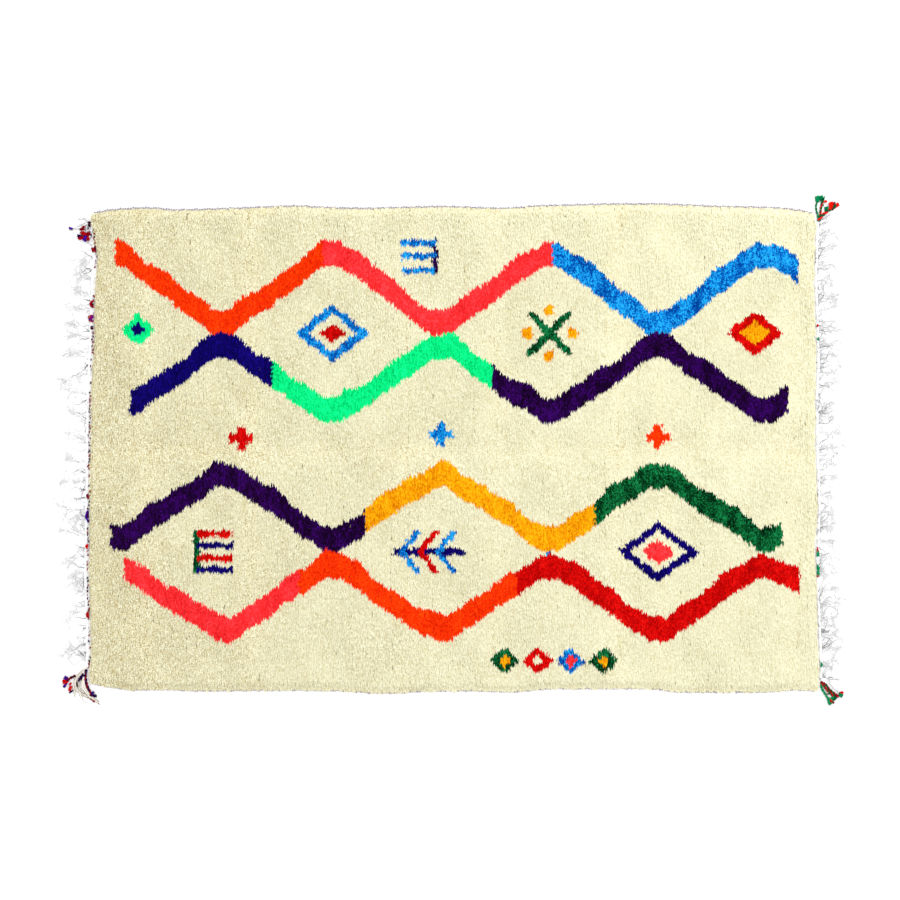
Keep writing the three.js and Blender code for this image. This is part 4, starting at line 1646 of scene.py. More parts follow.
@dataclass
class Fringe:
    """The heading at one end, the knotted bunches of warps that grow from it, and stray yarns."""

    rim: Rim
    end: End
    name: str
    bunches: Sequence[Bunch]
    span: Pair
    finish: CordFinish
    rng: Generator
    girth: float
    fray_lengths: Pair
    stray_lengths: Pair
    strays: int
    shaded: float
    sweep: float

    GAP = 0.0006
    HEADING_WIDTH = 0.01
    HEADING_HEIGHT = 0.003
    WEFTS = 3
    ROOT_INSET = 0.002
    CORDS = 3
    CORD_RADIUS = 0.0012
    CORD_APART = 0.0036
    CORD_WAVE = 0.0022
    # The knot's place on the bunch and half its length, as shares of the bunch, and its size.
    KNOT_AT = 0.56
    KNOT_REACH = 0.06
    KNOT_SWELL = (0.45, 0.85, 1.0, 0.86, 0.98, 1.0, 0.8, 0.5)
    KNOT_WIDTH = 0.0036
    KNOT_HEIGHT = 0.003
    KNOT_MIDDLE = 0.0032
    KNOT_ROLL = 1.6
    FRAYS = 22
    FRAY_RADIUS = 0.0009
    FRAY_SPREAD = 1.0
    FRAYS_FROM = (0.0, 0.9)
    FRAY_CURL = Curl(1.3, 0.62)
    FRAY_HEIGHT = 0.0026
    FRAY_REST = (0.0009, 0.0045)
    LIGHT = 0.7
    STRAY_RADIUS = 0.0013
    STRAY_SPREAD = 0.5
    STRAY_CURL = Curl(0.7, 0.4)
    STRAY_HEIGHT = 0.0012
    STRAY_REST = (0.0007, 0.0035)

    def __post_init__(self) -> None:
        """Makes the tubes that the yarns are bent from."""
        self.weft = Tube(6, 200)
        self.cord = Tube(6, 14)
        self.lump = Tube(8, len(self.KNOT_SWELL))
        self.fray = Tube(3, 14)
        self.stray = Tube(3, 12)

    def build(self) -> Piece:
        """Models the heading, its bunches and its stray yarns as one piece.

        Returns:
            The piece.
        """
        yarns = JoinedYarns(self.name)
        self._heading(yarns)
        for bunch in self.bunches:
            self._bunch(yarns, bunch)
        self._strays(yarns)
        piece = yarns.piece(self.finish.material(), columns=16)
        return piece

    def _heading(self, yarns: JoinedYarns) -> None:
        """Adds the heading's wefts, side by side along the end."""
        y = np.linspace(*self.span, self.weft.rings)
        width = self.HEADING_WIDTH / self.WEFTS
        for number in range(self.WEFTS):
            out = self.GAP + (number + 0.5) * width
            x = self.rim.at(self.end, y) + self.end.value * out
            girth = 1 + 0.08 * ripple(y + number, ((0.023, 0.0), (0.037, 1.0)))
            high = self.HEADING_HEIGHT / 2 * girth
            path = np.stack([x, y, high], axis=1)
            radii = np.stack([width / 2 * girth, high], axis=1)
            yarns.add(self.weft, path[None], radii[None], tone=2.0, dye=BRIGHT_WARP)

    def _bunch(self, yarns: JoinedYarns, bunch: Bunch) -> None:
        """Adds one bunch: its cords, its knot and its frayed end."""
        root, reach, along, bow, loop = (
            MM * size for size in (bunch.root, bunch.reach, bunch.drift, bunch.bow, bunch.loop)
        )
        outward = self.end.value
        outer = self.GAP + self.HEADING_WIDTH
        edge = self.rim.at(self.end, np.array([root]))[0]
        start = np.array([edge + outward * (outer - self.ROOT_INSET), root])
        tip = np.array([edge + outward * (outer + reach), root + along])
        way = tip - start
        length = np.linalg.norm(way)
        across = np.array([-way[1], way[0]]) / length

        def line(shares: Array, aside: Array, height: Array) -> Array:
            """Gives a line over the floor, so far aside from the bunch's own bowed line."""
            bowed = bow * np.sin(np.pi * shares) + aside
            return lifted(start + way * shares[..., None] + across * bowed[..., None], height)

        self._cords(yarns, line, loop)
        self._knot(yarns, line)
        from_knot = self.rng.uniform(*self.FRAYS_FROM, self.FRAYS)
        starts = line(from_knot, np.zeros(self.FRAYS), np.zeros(self.FRAYS))[:, :2]
        self._frays(yarns, starts, math.atan2(way[1], way[0]))

    def _cords(self, yarns: JoinedYarns, line: Any, loop: float) -> None:
        """Adds the plied cords between the heading and the knot."""
        radius = self.CORD_RADIUS * self.girth
        share = np.linspace(0, 1, self.cord.rings)[None].repeat(self.CORDS, axis=0)
        number = np.arange(self.CORDS)[:, None] - (self.CORDS - 1) / 2
        hump = np.sin(np.pi * share)
        phase = self.rng.uniform(0, TURN, (self.CORDS, 1))
        waves = self.rng.uniform(1.0, 1.8, (self.CORDS, 1))
        aside = number * (self.CORD_APART * self.girth * (1 - share) + loop * hump)
        aside = aside + self.CORD_WAVE * self.girth * hump * np.sin(TURN * waves * share + phase)
        height = radius + 0.9 * radius * hump * (1 + np.sin(TURN * share + phase))
        paths = line(share * self.KNOT_AT, aside, height)
        radii = np.full((self.CORDS, self.cord.rings, 2), radius)
        yarns.add(self.cord, paths, radii, tone=self.rng.normal(0.8, 0.4, self.CORDS), dye=WHITE_WARP)
        # Painted shade: a thin grey strand, tapering outwards, lies along one outer cord as its shadow side.
        outer = self.rng.choice([0, self.CORDS - 1], 1)
        aside = aside[outer] + number[outer] * radius
        path = line(share[outer] * self.KNOT_AT, aside, np.full_like(aside, 0.8 * radius))
        radii = np.empty((1, self.cord.rings, 2))
        radii[:] = radius * (1.0 - 0.7 * share[0])[None, :, None]
        yarns.add(self.cord, path, radii, dye=SHADED_WARP)

    def _knot(self, yarns: JoinedYarns, line: Any) -> None:
        """Adds the knot as a lump that is drawn in at its ends."""
        rings = self.lump.rings
        share = self.KNOT_AT + np.linspace(-self.KNOT_REACH, self.KNOT_REACH, rings)[None]
        swell = np.array(self.KNOT_SWELL)
        wide = self.KNOT_WIDTH * self.girth * swell
        high = self.KNOT_HEIGHT * self.girth * swell
        paths = line(share, np.zeros_like(share), self.KNOT_MIDDLE * self.girth)
        radii = np.stack([wide, high], axis=1)[None]
        roll = np.linspace(0, self.KNOT_ROLL, rings)[None]
        yarns.add(self.lump, paths, radii, roll=roll, tone=self.LIGHT, dye=WHITE_WARP)

    def _frays(self, yarns: JoinedYarns, starts: Array, heading: float) -> None:
        """Adds the loose, curly yarns beyond the knot, in a brush."""
        count = self.FRAYS
        rng = self.rng
        turn = heading + self.FRAY_SPREAD * rng.uniform(-1, 1, count)
        lengths = rng.uniform(*self.fray_lengths, count)
        flat = self.FRAY_CURL.follow(starts, turn, lengths, self.fray.rings, rng)
        share = np.linspace(0, 1, self.fray.rings)[None]
        rest = rng.uniform(*self.FRAY_REST, (count, 1))
        height = self.FRAY_HEIGHT * self.girth * (1 - share) + rest * share
        radii = np.empty((count, self.fray.rings, 2))
        radii[:] = self.FRAY_RADIUS * (1.1 - 0.3 * share)[..., None]
        dye = rng.choice(np.array(LOOSE_WARPS), count)
        yarns.add(self.fray, lifted(flat, height), radii, tone=self.LIGHT, dye=dye)

    def _strays(self, yarns: JoinedYarns) -> None:
        """Adds single loose yarns between the bunches, each curled its own way."""
        count = self.strays
        rng = self.rng
        outward = self.end.value
        y = rng.uniform(*self.span, count)
        out = self.GAP + self.HEADING_WIDTH - self.ROOT_INSET
        start = np.stack([self.rim.at(self.end, y) + outward * out, y], axis=1)
        lean = np.radians(self.sweep) + rng.normal(0, self.STRAY_SPREAD, count)
        turn = np.arctan2(np.sin(lean), outward * np.cos(lean))
        lengths = rng.uniform(*self.stray_lengths, count)
        flat = self.STRAY_CURL.follow(start, turn, lengths, self.stray.rings, rng)
        share = np.linspace(0, 1, self.stray.rings)[None]
        rest = rng.uniform(*self.STRAY_REST, (count, 1))
        height = self.STRAY_HEIGHT + rest * np.sin(np.pi * share) * 0.8
        radii = np.empty((count, self.stray.rings, 2))
        radii[:] = self.STRAY_RADIUS * (1.0 - 0.7 * share)[..., None]
        # Painted shade: the grey dyes stand in for white yarns in shadow, and shaded is the share of the
        # darkest.
        lit = (1 - self.shaded) / 2
        dye = rng.choice(np.array(STRAY_WARPS_AND_SHADE), count, p=(lit, lit, self.shaded))
        yarns.add(self.stray, lifted(flat, height), radii, dye=dye)


@dataclass(frozen=True)
class CordLoop:
    """A place where a twined cord stands out in loops, in millimetres, and the loops' dyes."""

    at: float
    long: float
    wide: float
    dyes: tuple[Colour, ...]


@dataclass
class TwinedCord:
    """A cord twined across the warps beside the pile.

    Its dyed yarn comes up between the warps in short stitches, and stands out in loops at a few places.
    """

    rim: Rim
    end: End
    name: str
    slot: str
    dyes: tuple[Colour, ...]
    loops: tuple[CordLoop, ...]
    span: Pair
    finish: CordFinish
    rng: Generator
    shown: float
    stitch_out: float

    OUT = 0.0046
    HEIGHT = 0.005
    REACH = 0.0008
    YARN_RADIUS = 0.0009
    PITCH = 0.015
    RINGS_A_TURN = 8
    STITCH_PITCH = 0.011
    STITCH_RADIUS = 0.0025
    STITCH_HEIGHT = 0.0062
    STITCH_RISE = 0.0016
    STITCH_SCATTER = 0.0014
    STITCH_SKEW = 0.0012
    STITCH_REACH = (0.0018, 0.0036)
    STITCH_GIRTH = (0.5, 1.1)
    # The arcs of a loop: how many, how thick, how far past a half turn, and each one's size as shares.
    ARCS = 7
    ARC_RADIUS = 0.0022
    ARC_PAST = 0.15
    ARC_SCATTER = 0.16
    ARC_LONG = (0.16, 0.4)
    ARC_WIDE = (0.3, 0.95)
    ARC_LIFT = 0.0006

    def build(self) -> Piece:
        """Models the cord, its stitches and its loops.

        Returns:
            The cord.
        """
        yarns = JoinedYarns(self.name)
        low, high = self.span
        rings = round((high - low) / self.PITCH * self.RINGS_A_TURN)
        y = np.linspace(low, high, rings)
        x = self.rim.at(self.end, y) + self.end.value * self.OUT
        path = np.stack([x, y, np.full(rings, self.HEIGHT)], axis=1)
        tube = Tube(5, rings)
        for start in (0.0, np.pi):
            turned = wound(path, self.REACH, self.PITCH, start)
            radii = np.full((1, rings, 2), self.YARN_RADIUS)
            yarns.add(tube, turned[None], radii, tone=2.0, dye=BRIGHT_WARP)
        self._stitches(yarns, Tube(6, 6))
        arc = Tube(6, 12)
        for loop in self.loops:
            self._loop(yarns, arc, loop)
        piece = yarns.piece(self.finish.material(), columns=8)
        return piece

    def _stitches(self, yarns: JoinedYarns, tube: Tube) -> None:
        """Adds the arched stitches of the dyed yarn, of which some are hidden under the pile."""
        rng = self.rng
        low, high = self.span
        y = np.arange(low, high, self.STITCH_PITCH)
        often = self.shown * (1 + 0.5 * ripple(y, ((0.31, 0.4), (0.17, 2.0))))
        y = y[rng.uniform(0, 1, len(y)) < often]
        count = len(y)
        y = y + rng.normal(0, self.STITCH_SCATTER, count)
        share = np.linspace(-1, 1, tube.rings)[None]
        along = y[:, None] + rng.uniform(*self.STITCH_REACH, (count, 1)) * share
        out = self.stitch_out + rng.normal(0, self.STITCH_SCATTER, (count, 1))
        out = out + rng.normal(0, self.STITCH_SKEW, (count, 1)) * share
        x = self.rim.at(self.end, along) + self.end.value * out
        z = self.STITCH_HEIGHT + self.STITCH_RISE * (1 - share**2) + np.zeros_like(x)
        radii = np.empty((count, tube.rings, 2))
        radii[:] = self.STITCH_RADIUS * rng.uniform(*self.STITCH_GIRTH, (count, 1, 1))
        dye = np.array(self.dyes)[rng.integers(0, len(self.dyes), count)]
        yarns.add(tube, np.stack([x, along, z], axis=-1), radii, dye=dye)

    def _loop(self, yarns: JoinedYarns, tube: Tube, loop: CordLoop) -> None:
        """Adds the arcs of one place where the cord stands out."""
        rng = self.rng
        angle = np.linspace(-self.ARC_PAST, np.pi + self.ARC_PAST, tube.rings)
        for number in range(self.ARCS):
            middle = MM * (loop.at + rng.normal(0, self.ARC_SCATTER) * loop.long)
            half = MM * loop.long * rng.uniform(*self.ARC_LONG)
            bulge = MM * loop.wide * rng.uniform(*self.ARC_WIDE)
            y = middle + half * np.cos(angle)
            out = self.stitch_out + bulge * np.sin(angle)
            x = self.rim.at(self.end, y) + self.end.value * out
            z = self.STITCH_HEIGHT + self.ARC_LIFT * number * np.sin(np.maximum(angle, 0)) + 0.0002
            path = np.stack([x, y, z], axis=1)
            radii = np.full((1, tube.rings, 2), self.ARC_RADIUS)
            yarns.add(tube, path[None], radii, dye=loop.dyes[number % len(loop.dyes)])


@dataclass(frozen=True)
class TasselCord:
    """A twisted cord end of a corner tassel: the stops it passes, in millimetres from the tassel's knot."""

    stops: tuple[Pair, ...]
    dyes: tuple[Colour, ...]
    girth: float = 1.0


@dataclass(frozen=True)
class WarpBundle:
    """Loose warps of a corner tassel that keep together: their stops, number and spread in millimetres."""

    stops: tuple[Pair, ...]
    count: int
    spread: float
    dye: Colour = WHITE_WARP


@dataclass(frozen=True)
class Tuft:
    """A cut brush of yarn ends: its foot and size in millimetres, its way in degrees, and its dye."""

    x: float
    y: float
    toward: float
    length: float
    width: float
    dye: Colour
    level: float = 0.0


@dataclass(frozen=True)
class TasselPlan:
    """What a corner tassel is made of."""

    knot: Colour
    cords: tuple[TasselCord, ...]
    warps: tuple[WarpBundle, ...]
    tufts: tuple[Tuft, ...]


@dataclass
class CornerTassel:
    """A corner's knot of cord ends: twisted cords, bundles of undyed warps, and cut tufts."""

    rim: Rim
    end: End
    name: str
    slot: str
    root: float
    plan: TasselPlan
    cord_finish: CordFinish
    warp_finish: CordFinish
    rng: Generator

    KNOT_OUT = 0.0099
    KNOT_TURNS = 2.2
    KNOT_REACH = 0.0038
    KNOT_RISE = 0.004
    YARN_RADIUS = 0.0023
    REACH = 0.0021
    PITCH = 0.025
    WARP_RADIUS = 0.0019
    SHADED_RADIUS = 0.0006
    WARP_RISE = 0.003
    WARP_WAVE = 0.002
    TUFT_RADIUS = 0.0021
    TUFT_HEIGHT = 0.0028
    TUFT_CURL = Curl(0.15, 0.12)
    LAYERS = 3
    SMOOTHINGS = 30

    def __post_init__(self) -> None:
        """Makes the tubes that the yarns are bent from."""
        self.yarn = Tube(6, 40)
        self.warp = Tube(5, 24)
        self.cut = Tube(6, 6)
        self.coil = Tube(7, 30)

    def build(self) -> list[Piece]:
        """Models the tassel.

        Returns:
            The dyed cords and the undyed warps, each as one piece.
        """
        dyed = JoinedYarns(f"{self.name}_cords")
        undyed = JoinedYarns(f"{self.name}_warps")
        edge = self.rim.at(self.end, np.array([self.root]))[0]
        knot = np.array([edge + self.end.value * self.KNOT_OUT, self.root])
        self._head(dyed, knot)
        for cord in self.plan.cords:
            self._twist(dyed, knot, cord)
        for bundle in self.plan.warps:
            self._warps(undyed, knot, bundle)
        for tuft in self.plan.tufts:
            self._tuft(dyed, knot, tuft)
        pieces = []
        for yarns, finish, slot in (
            (dyed, self.cord_finish, self.slot),
            (undyed, self.warp_finish, "white_warp"),
        ):
            piece = yarns.piece(finish.material(), columns=12)
            pieces.append(piece)
        return pieces

    def _path(self, knot: Array, stops: Sequence[Pair], rings: int) -> Array:
        """Draws a smooth line over the floor past some stops."""
        flat = spaced(knot + MM * np.array(stops), rings)
        for _ in range(self.SMOOTHINGS):
            flat[1:-1] = (flat[:-2] + 2 * flat[1:-1] + flat[2:]) / 4
        return lifted(spaced(flat, rings), np.zeros(rings))

    def _head(self, yarns: JoinedYarns, knot: Array) -> None:
        """Adds the knot as a coil that draws in as it rises."""
        share = np.linspace(0, 1, self.coil.rings)
        turn = TURN * self.KNOT_TURNS * share
        reach = self.KNOT_REACH * (1 - 0.7 * share)
        x = knot[0] + reach * np.cos(turn)
        y = knot[1] + reach * np.sin(turn)
        path = np.stack([x, y, self.YARN_RADIUS + self.KNOT_RISE * share], axis=1)
        radii = np.full((1, self.coil.rings, 2), self.YARN_RADIUS)
        yarns.add(self.coil, path[None], radii, dye=self.plan.knot)

    def _twist(self, yarns: JoinedYarns, knot: Array, cord: TasselCord) -> None:
        """Adds the yarns of a twisted cord."""
        middle = self._path(knot, cord.stops, self.yarn.rings)
        reach = self.REACH * cord.girth
        radius = self.YARN_RADIUS * cord.girth
        middle[:, 2] = reach + radius
        start = self.rng.uniform(0, TURN)
        radii = np.full((1, self.yarn.rings, 2), radius)
        for number, dye in enumerate(cord.dyes):
            turned = wound(middle, reach, self.PITCH, start + number * np.pi)
            yarns.add(self.yarn, turned[None], radii, dye=dye)

    def _warps(self, yarns: JoinedYarns, knot: Array, bundle: WarpBundle) -> None:
        """Adds the loose warps of a bundle, with thin dark yarns in the gaps between and beside them as
        painted shade.
        """
        rng = self.rng
        middle = self._path(knot, bundle.stops, self.warp.rings)
        way = np.gradient(middle, axis=0)
        across = np.stack([-way[:, 1], way[:, 0]], axis=1)
        across /= np.linalg.norm(across, axis=1, keepdims=True)
        share = np.linspace(0, 1, self.warp.rings)
        spread = MM * bundle.spread * (0.35 + 0.65 * np.sin(np.pi * share**0.8))
        # The yarns at even places are painted shade: thin dark yarns where shade falls between the warps and
        # at the bundle's sides.
        for number in range(2 * bundle.count + 1):
            between = number % 2 == 0
            place = (number / (2 * bundle.count) - 0.5) * spread
            wave = np.sin(TURN * share * rng.uniform(1, 2) + rng.uniform(0, TURN))
            radius = (self.SHADED_RADIUS if between else self.WARP_RADIUS) * rng.uniform(0.85, 1.1)
            rise = self.WARP_RISE * rng.uniform(0, 1)
            line = middle.copy()
            line[:, :2] += across * (place + self.WARP_WAVE * wave * share)[:, None]
            base = self.WARP_RADIUS * 1.4 if between else radius
            line[:, 2] = base + rise * np.sin(np.pi * share)
            radii = np.full((1, self.warp.rings, 2), radius) * (1.05 - 0.35 * share)[None, :, None]
            dye = PAINTED_SHADE_WARP if between else bundle.dye
            yarns.add(self.warp, line[None], radii, tone=rng.normal(1.3, 0.3), dye=dye)

    def _tuft(self, yarns: JoinedYarns, knot: Array, tuft: Tuft) -> None:
        """Adds a cut tuft: short thick yarn ends side by side and over each other."""
        rng = self.rng
        count = round(2 + tuft.width)
        way = math.radians(tuft.toward)
        across = np.array([-math.sin(way), math.cos(way)])
        place = np.linspace(-1, 1, count)
        half = max(MM * tuft.width / 2 - self.TUFT_RADIUS, 0.0)
        start = knot + MM * np.array([tuft.x, tuft.y]) + across * (0.6 * half * place)[:, None]
        turn = way + 0.4 * half / (MM * tuft.length) * place + rng.normal(0, 0.08, count)
        lengths = MM * tuft.length * (1 - 0.2 * place**2) * rng.uniform(0.86, 1.04, count)
        flat = self.TUFT_CURL.follow(start, turn, lengths, self.cut.rings, rng)
        share = np.linspace(0, 1, self.cut.rings)[None]
        layer = (np.arange(count)[:, None] % self.LAYERS + 3 * tuft.level) * self.TUFT_HEIGHT
        height = self.TUFT_RADIUS + layer * np.sin(0.5 * np.pi * share)
        thick = min(self.TUFT_RADIUS, MM * tuft.width / 2)
        radii = np.empty((count, self.cut.rings, 2))
        radii[:] = thick * (1.12 - 0.2 * share)[..., None]
        tone = rng.normal(0, 0.7, count)
        yarns.add(self.cut, lifted(flat, height), radii, tone=tone, dye=tuft.dye)


INK_CRIMSON = (INK_TWINE, CRIMSON_TWINE)
CRIMSON_BOTTLE = (CRIMSON_TWINE, BOTTLE_TWINE)
GREEN_BOTTLE = (GREEN_TWINE, BOTTLE_TWINE)
RED_BOTTLE = (RED_TWINE, BOTTLE_TWINE)
SCARLET_BOTTLE = (SCARLET_TWINE, BOTTLE_TWINE)
ALL_GREEN = (GREEN_TWINE, GREEN_TWINE)

BACK_LEFT_TASSEL = TasselPlan(
    knot=DARK_TWINE,
    cords=(
        TasselCord(((0, -2), (10, -18), (17, -34), (20, -50)), (DARK_TWINE, WHITE_WARP), girth=0.85),
        TasselCord(((-4, -34), (6, -37), (12, -46), (18, -66), (18, -80)), INK_CRIMSON, girth=0.75),
    ),
    warps=(
        WarpBundle(((0, 2), (-18, -4), (-36, -15), (-49, -24), (-60, -20)), 3, 12),
        WarpBundle(((-44, -25), (-56, -30), (-66, -22)), 2, 4, CREAM_WARP),
        WarpBundle(((0, 4), (-10, 14), (-24, 18), (-36, 10)), 2, 7),
        WarpBundle(((-2, -2), (-8, -16), (-6, -38)), 2, 9),
        WarpBundle(((-6, -2), (4, -20), (12, -36), (16, -52)), 1, 6),
    ),
    tufts=(
        Tuft(-55, -20, 168, 13, 9, VIOLET_TWINE),
        Tuft(-31, -23, 26, 22, 8, CRIMSON_TWINE),
        Tuft(-3, -4, 300, 11, 7, DARK_TWINE),
        Tuft(-6, -40, 155, 25, 15, RUBY_TWINE),
        Tuft(-24, -43, 183, 16, 5, INK_TWINE),
        Tuft(-14, -45, 202, 25, 8, RUBY_TWINE),
        Tuft(-8, -47, 62, 20, 14, CRIMSON_TWINE),
        Tuft(-10, -42, 252, 21, 13, VIOLET_TWINE, 0.4),
        Tuft(-6, -46, 290, 16, 10, RUBY_TWINE, 0.3),
        Tuft(9, -83, 300, 19, 7, CRIMSON_TWINE),
    ),
)
FRONT_LEFT_TASSEL = TasselPlan(
    knot=INK_TWINE,
    cords=(
        TasselCord(((0, -4), (-3, -14), (-1, -30), (4, -51), (13, -69), (20, -79)), INK_CRIMSON, girth=1.15),
        TasselCord(((-36, -15), (-50, -22), (-64, -32)), (CRIMSON_TWINE, DARK_TWINE), girth=1.1),
        TasselCord(((-8, -12), (-13, -20), (-17, -29)), (INK_TWINE, DARK_TWINE), girth=0.9),
    ),
    warps=(
        WarpBundle(((-2, 0), (-28, -10), (-46, -36), (-38, -64), (-12, -86), (36, -91)), 3, 12, CREAM_WARP),
        WarpBundle(((-2, -2), (-21, -16), (-33, -42), (-22, -68), (2, -90), (44, -101)), 2, 10, CREAM_WARP),
        WarpBundle(((-2, -4), (-9, -18), (-15, -42), (-3, -68), (17, -90), (46, -112)), 3, 11, CREAM_WARP),
        WarpBundle(((-42, -46), (-38, -66), (-37, -86)), 2, 6, CREAM_WARP),
        WarpBundle(((-26, -56), (-20, -76), (-12, -96), (-2, -106)), 1, 5, CREAM_WARP),
        WarpBundle(((0, 12), (-8, 2), (-20, -6), (-40, -22)), 2, 7, CREAM_WARP),
    ),
    tufts=(
        Tuft(-60, -31, 128, 18, 13, VIOLET_TWINE),
        Tuft(-59, -32, 197, 20, 15, RED_TWINE, 0.2),
        Tuft(-64, -40, 236, 20, 9, VIOLET_TWINE),
        Tuft(-50, -40, 228, 9, 8, RED_TWINE),
        Tuft(-50, -50, 250, 18, 13, RED_TWINE),
        Tuft(-42, -64, 208, 17, 5, INK_TWINE),
        Tuft(14, -74, 14, 15, 6, VIOLET_TWINE),
        Tuft(12, -80, 352, 24, 6, INK_TWINE),
        Tuft(14, -92, 325, 22, 3, CRIMSON_TWINE, 0.6),
        Tuft(-18, -18, 256, 17, 6, INK_TWINE, 0.8),
        Tuft(-32, -36, 290, 17, 2, DARK_TWINE, 0.8),
        Tuft(-11, -8, 248, 12, 4, INK_TWINE, 0.8),
        Tuft(-40, -17, 225, 8, 5, DARK_TWINE, 0.8),
    ),
)
BACK_RIGHT_TASSEL = TasselPlan(
    knot=BOTTLE_TWINE,
    cords=(
        TasselCord(((0, 0), (-3, 16), (-8, 30), (-10, 48), (-3, 64)), GREEN_BOTTLE, girth=0.85),
        TasselCord(((1, 0), (6, 20), (7, 38), (9, 50), (14, 64)), RED_BOTTLE),
        TasselCord(((-3, -1), (-2, 10), (3, 19)), ALL_GREEN, girth=0.8),
        TasselCord(((0, -3), (5, 8), (14, 17), (24, 25), (34, 33), (42, 36)), SCARLET_BOTTLE, girth=1.35),
    ),
    warps=(
        WarpBundle(((2, -6), (12, -18), (22, -14), (34, -4)), 2, 4),
        WarpBundle(((4, -2), (16, 4), (28, 12), (40, 18)), 2, 5),
    ),
    tufts=(
        Tuft(-5, 60, 74, 22, 17, GREEN_TWINE),
        Tuft(14, 60, 108, 20, 16, GREEN_TWINE),
        Tuft(1, 75, 332, 19, 14, BOTTLE_TWINE),
        Tuft(-2, 74, 10, 16, 8, GREEN_TWINE, 0.8),
        Tuft(14, 60, 8, 14, 8, SCARLET_TWINE),
        Tuft(10, 49, 350, 8, 5, GREEN_TWINE),
        Tuft(25, 29, 84, 16, 12, GREEN_TWINE),
        Tuft(40, 33, 86, 28, 13, SCARLET_TWINE),
        Tuft(45, 51, 30, 13, 7, CRIMSON_TWINE),
        Tuft(50, 38, 45, 25, 10, SCARLET_TWINE),
        Tuft(46, 33, 66, 21, 6, BOTTLE_TWINE, 0.6),
    ),
)
FRONT_RIGHT_TASSEL = TasselPlan(
    knot=CRIMSON_TWINE,
    cords=(
        TasselCord(((-2, -4), (-1, -18), (6, -30), (13, -39), (17, -47), (25, -60)), ALL_GREEN),
        TasselCord(((1, -2), (8, -12), (17, -24), (26, -32), (36, -38), (42, -48)), RED_BOTTLE),
        TasselCord(((6, 0), (17, -8), (24, -22), (36, -30), (46, -38), (52, -48)), CRIMSON_BOTTLE),
        TasselCord(((-4, -6), (4, -7), (10, -2)), (RED_TWINE, CRIMSON_TWINE), girth=0.9),
        TasselCord(((16, -38), (26, -36), (34, -42), (38, -50)), (CRIMSON_TWINE, GREEN_TWINE), girth=0.6),
    ),
    warps=(
        WarpBundle(((0, 38), (9, 28), (23, 9), (34, -12), (50, -27), (60, -35)), 1, 4),
        WarpBundle(((10, 24), (26, 12), (44, 14), (60, 12)), 1, 4),
    ),
    tufts=(
        Tuft(22, -50, 284, 25, 15, GREEN_TWINE),
        Tuft(44, -44, 232, 22, 14, GREEN_TWINE),
        Tuft(51, -46, 222, 16, 10, BOTTLE_TWINE),
        Tuft(28, -55, 300, 9, 8, RED_TWINE, 0.8),
        Tuft(33, -59, 312, 13, 7, CRIMSON_TWINE),
        Tuft(49, -37, 296, 14, 7, RED_TWINE, 0.3),
        Tuft(10, -15, 320, 7, 7, RED_TWINE, 0.8),
        Tuft(57, -38, 335, 15, 15, BOTTLE_TWINE),
        Tuft(58, -38, 332, 13, 12, GREEN_TWINE, 0.4),
        Tuft(62, -35, 30, 11, 10, SCARLET_TWINE, 0.4),
    ),
)
LEFT_STITCHES = (CRIMSON_TWINE, CRIMSON_TWINE, DARK_TWINE, DARK_TWINE, INK_TWINE, GREY_TWINE)
RIGHT_STITCHES = (PALE_WOOL, PALE_WOOL, GREY_TWINE)
LEFT_LOOPS = (
    CordLoop(665, 20, 8, (DARK_TWINE, RUBY_TWINE)),
    CordLoop(484, 30, 12, (RUBY_TWINE, DARK_TWINE)),
    CordLoop(436, 22, 18, (RUBY_TWINE, VIOLET_TWINE, VIOLET_TWINE)),
    CordLoop(403, 10, 8, (DARK_TWINE,)),
    CordLoop(-155, 14, 7, (DARK_TWINE, RUBY_TWINE)),
    CordLoop(-220, 34, 11, (VIOLET_TWINE, DARK_TWINE, VIOLET_TWINE)),
    CordLoop(-322, 16, 12, (RED_TWINE,)),
    CordLoop(-547, 16, 9, (RUBY_TWINE,)),
)
RIGHT_LOOPS = (
    CordLoop(412, 8, 4, (RED_TWINE,)),
    CordLoop(367, 10, 4, (GREEN_TWINE,)),
    CordLoop(-336, 14, 7, (RED_TWINE, GREEN_TWINE)),
    CordLoop(-348, 12, 8, (GREEN_TWINE,)),
    CordLoop(-400, 28, 8, (GREEN_TWINE,)),
    CordLoop(-418, 10, 6, (RED_TWINE, GREEN_TWINE)),
    CordLoop(-714, 10, 5, (GREEN_TWINE,)),
)


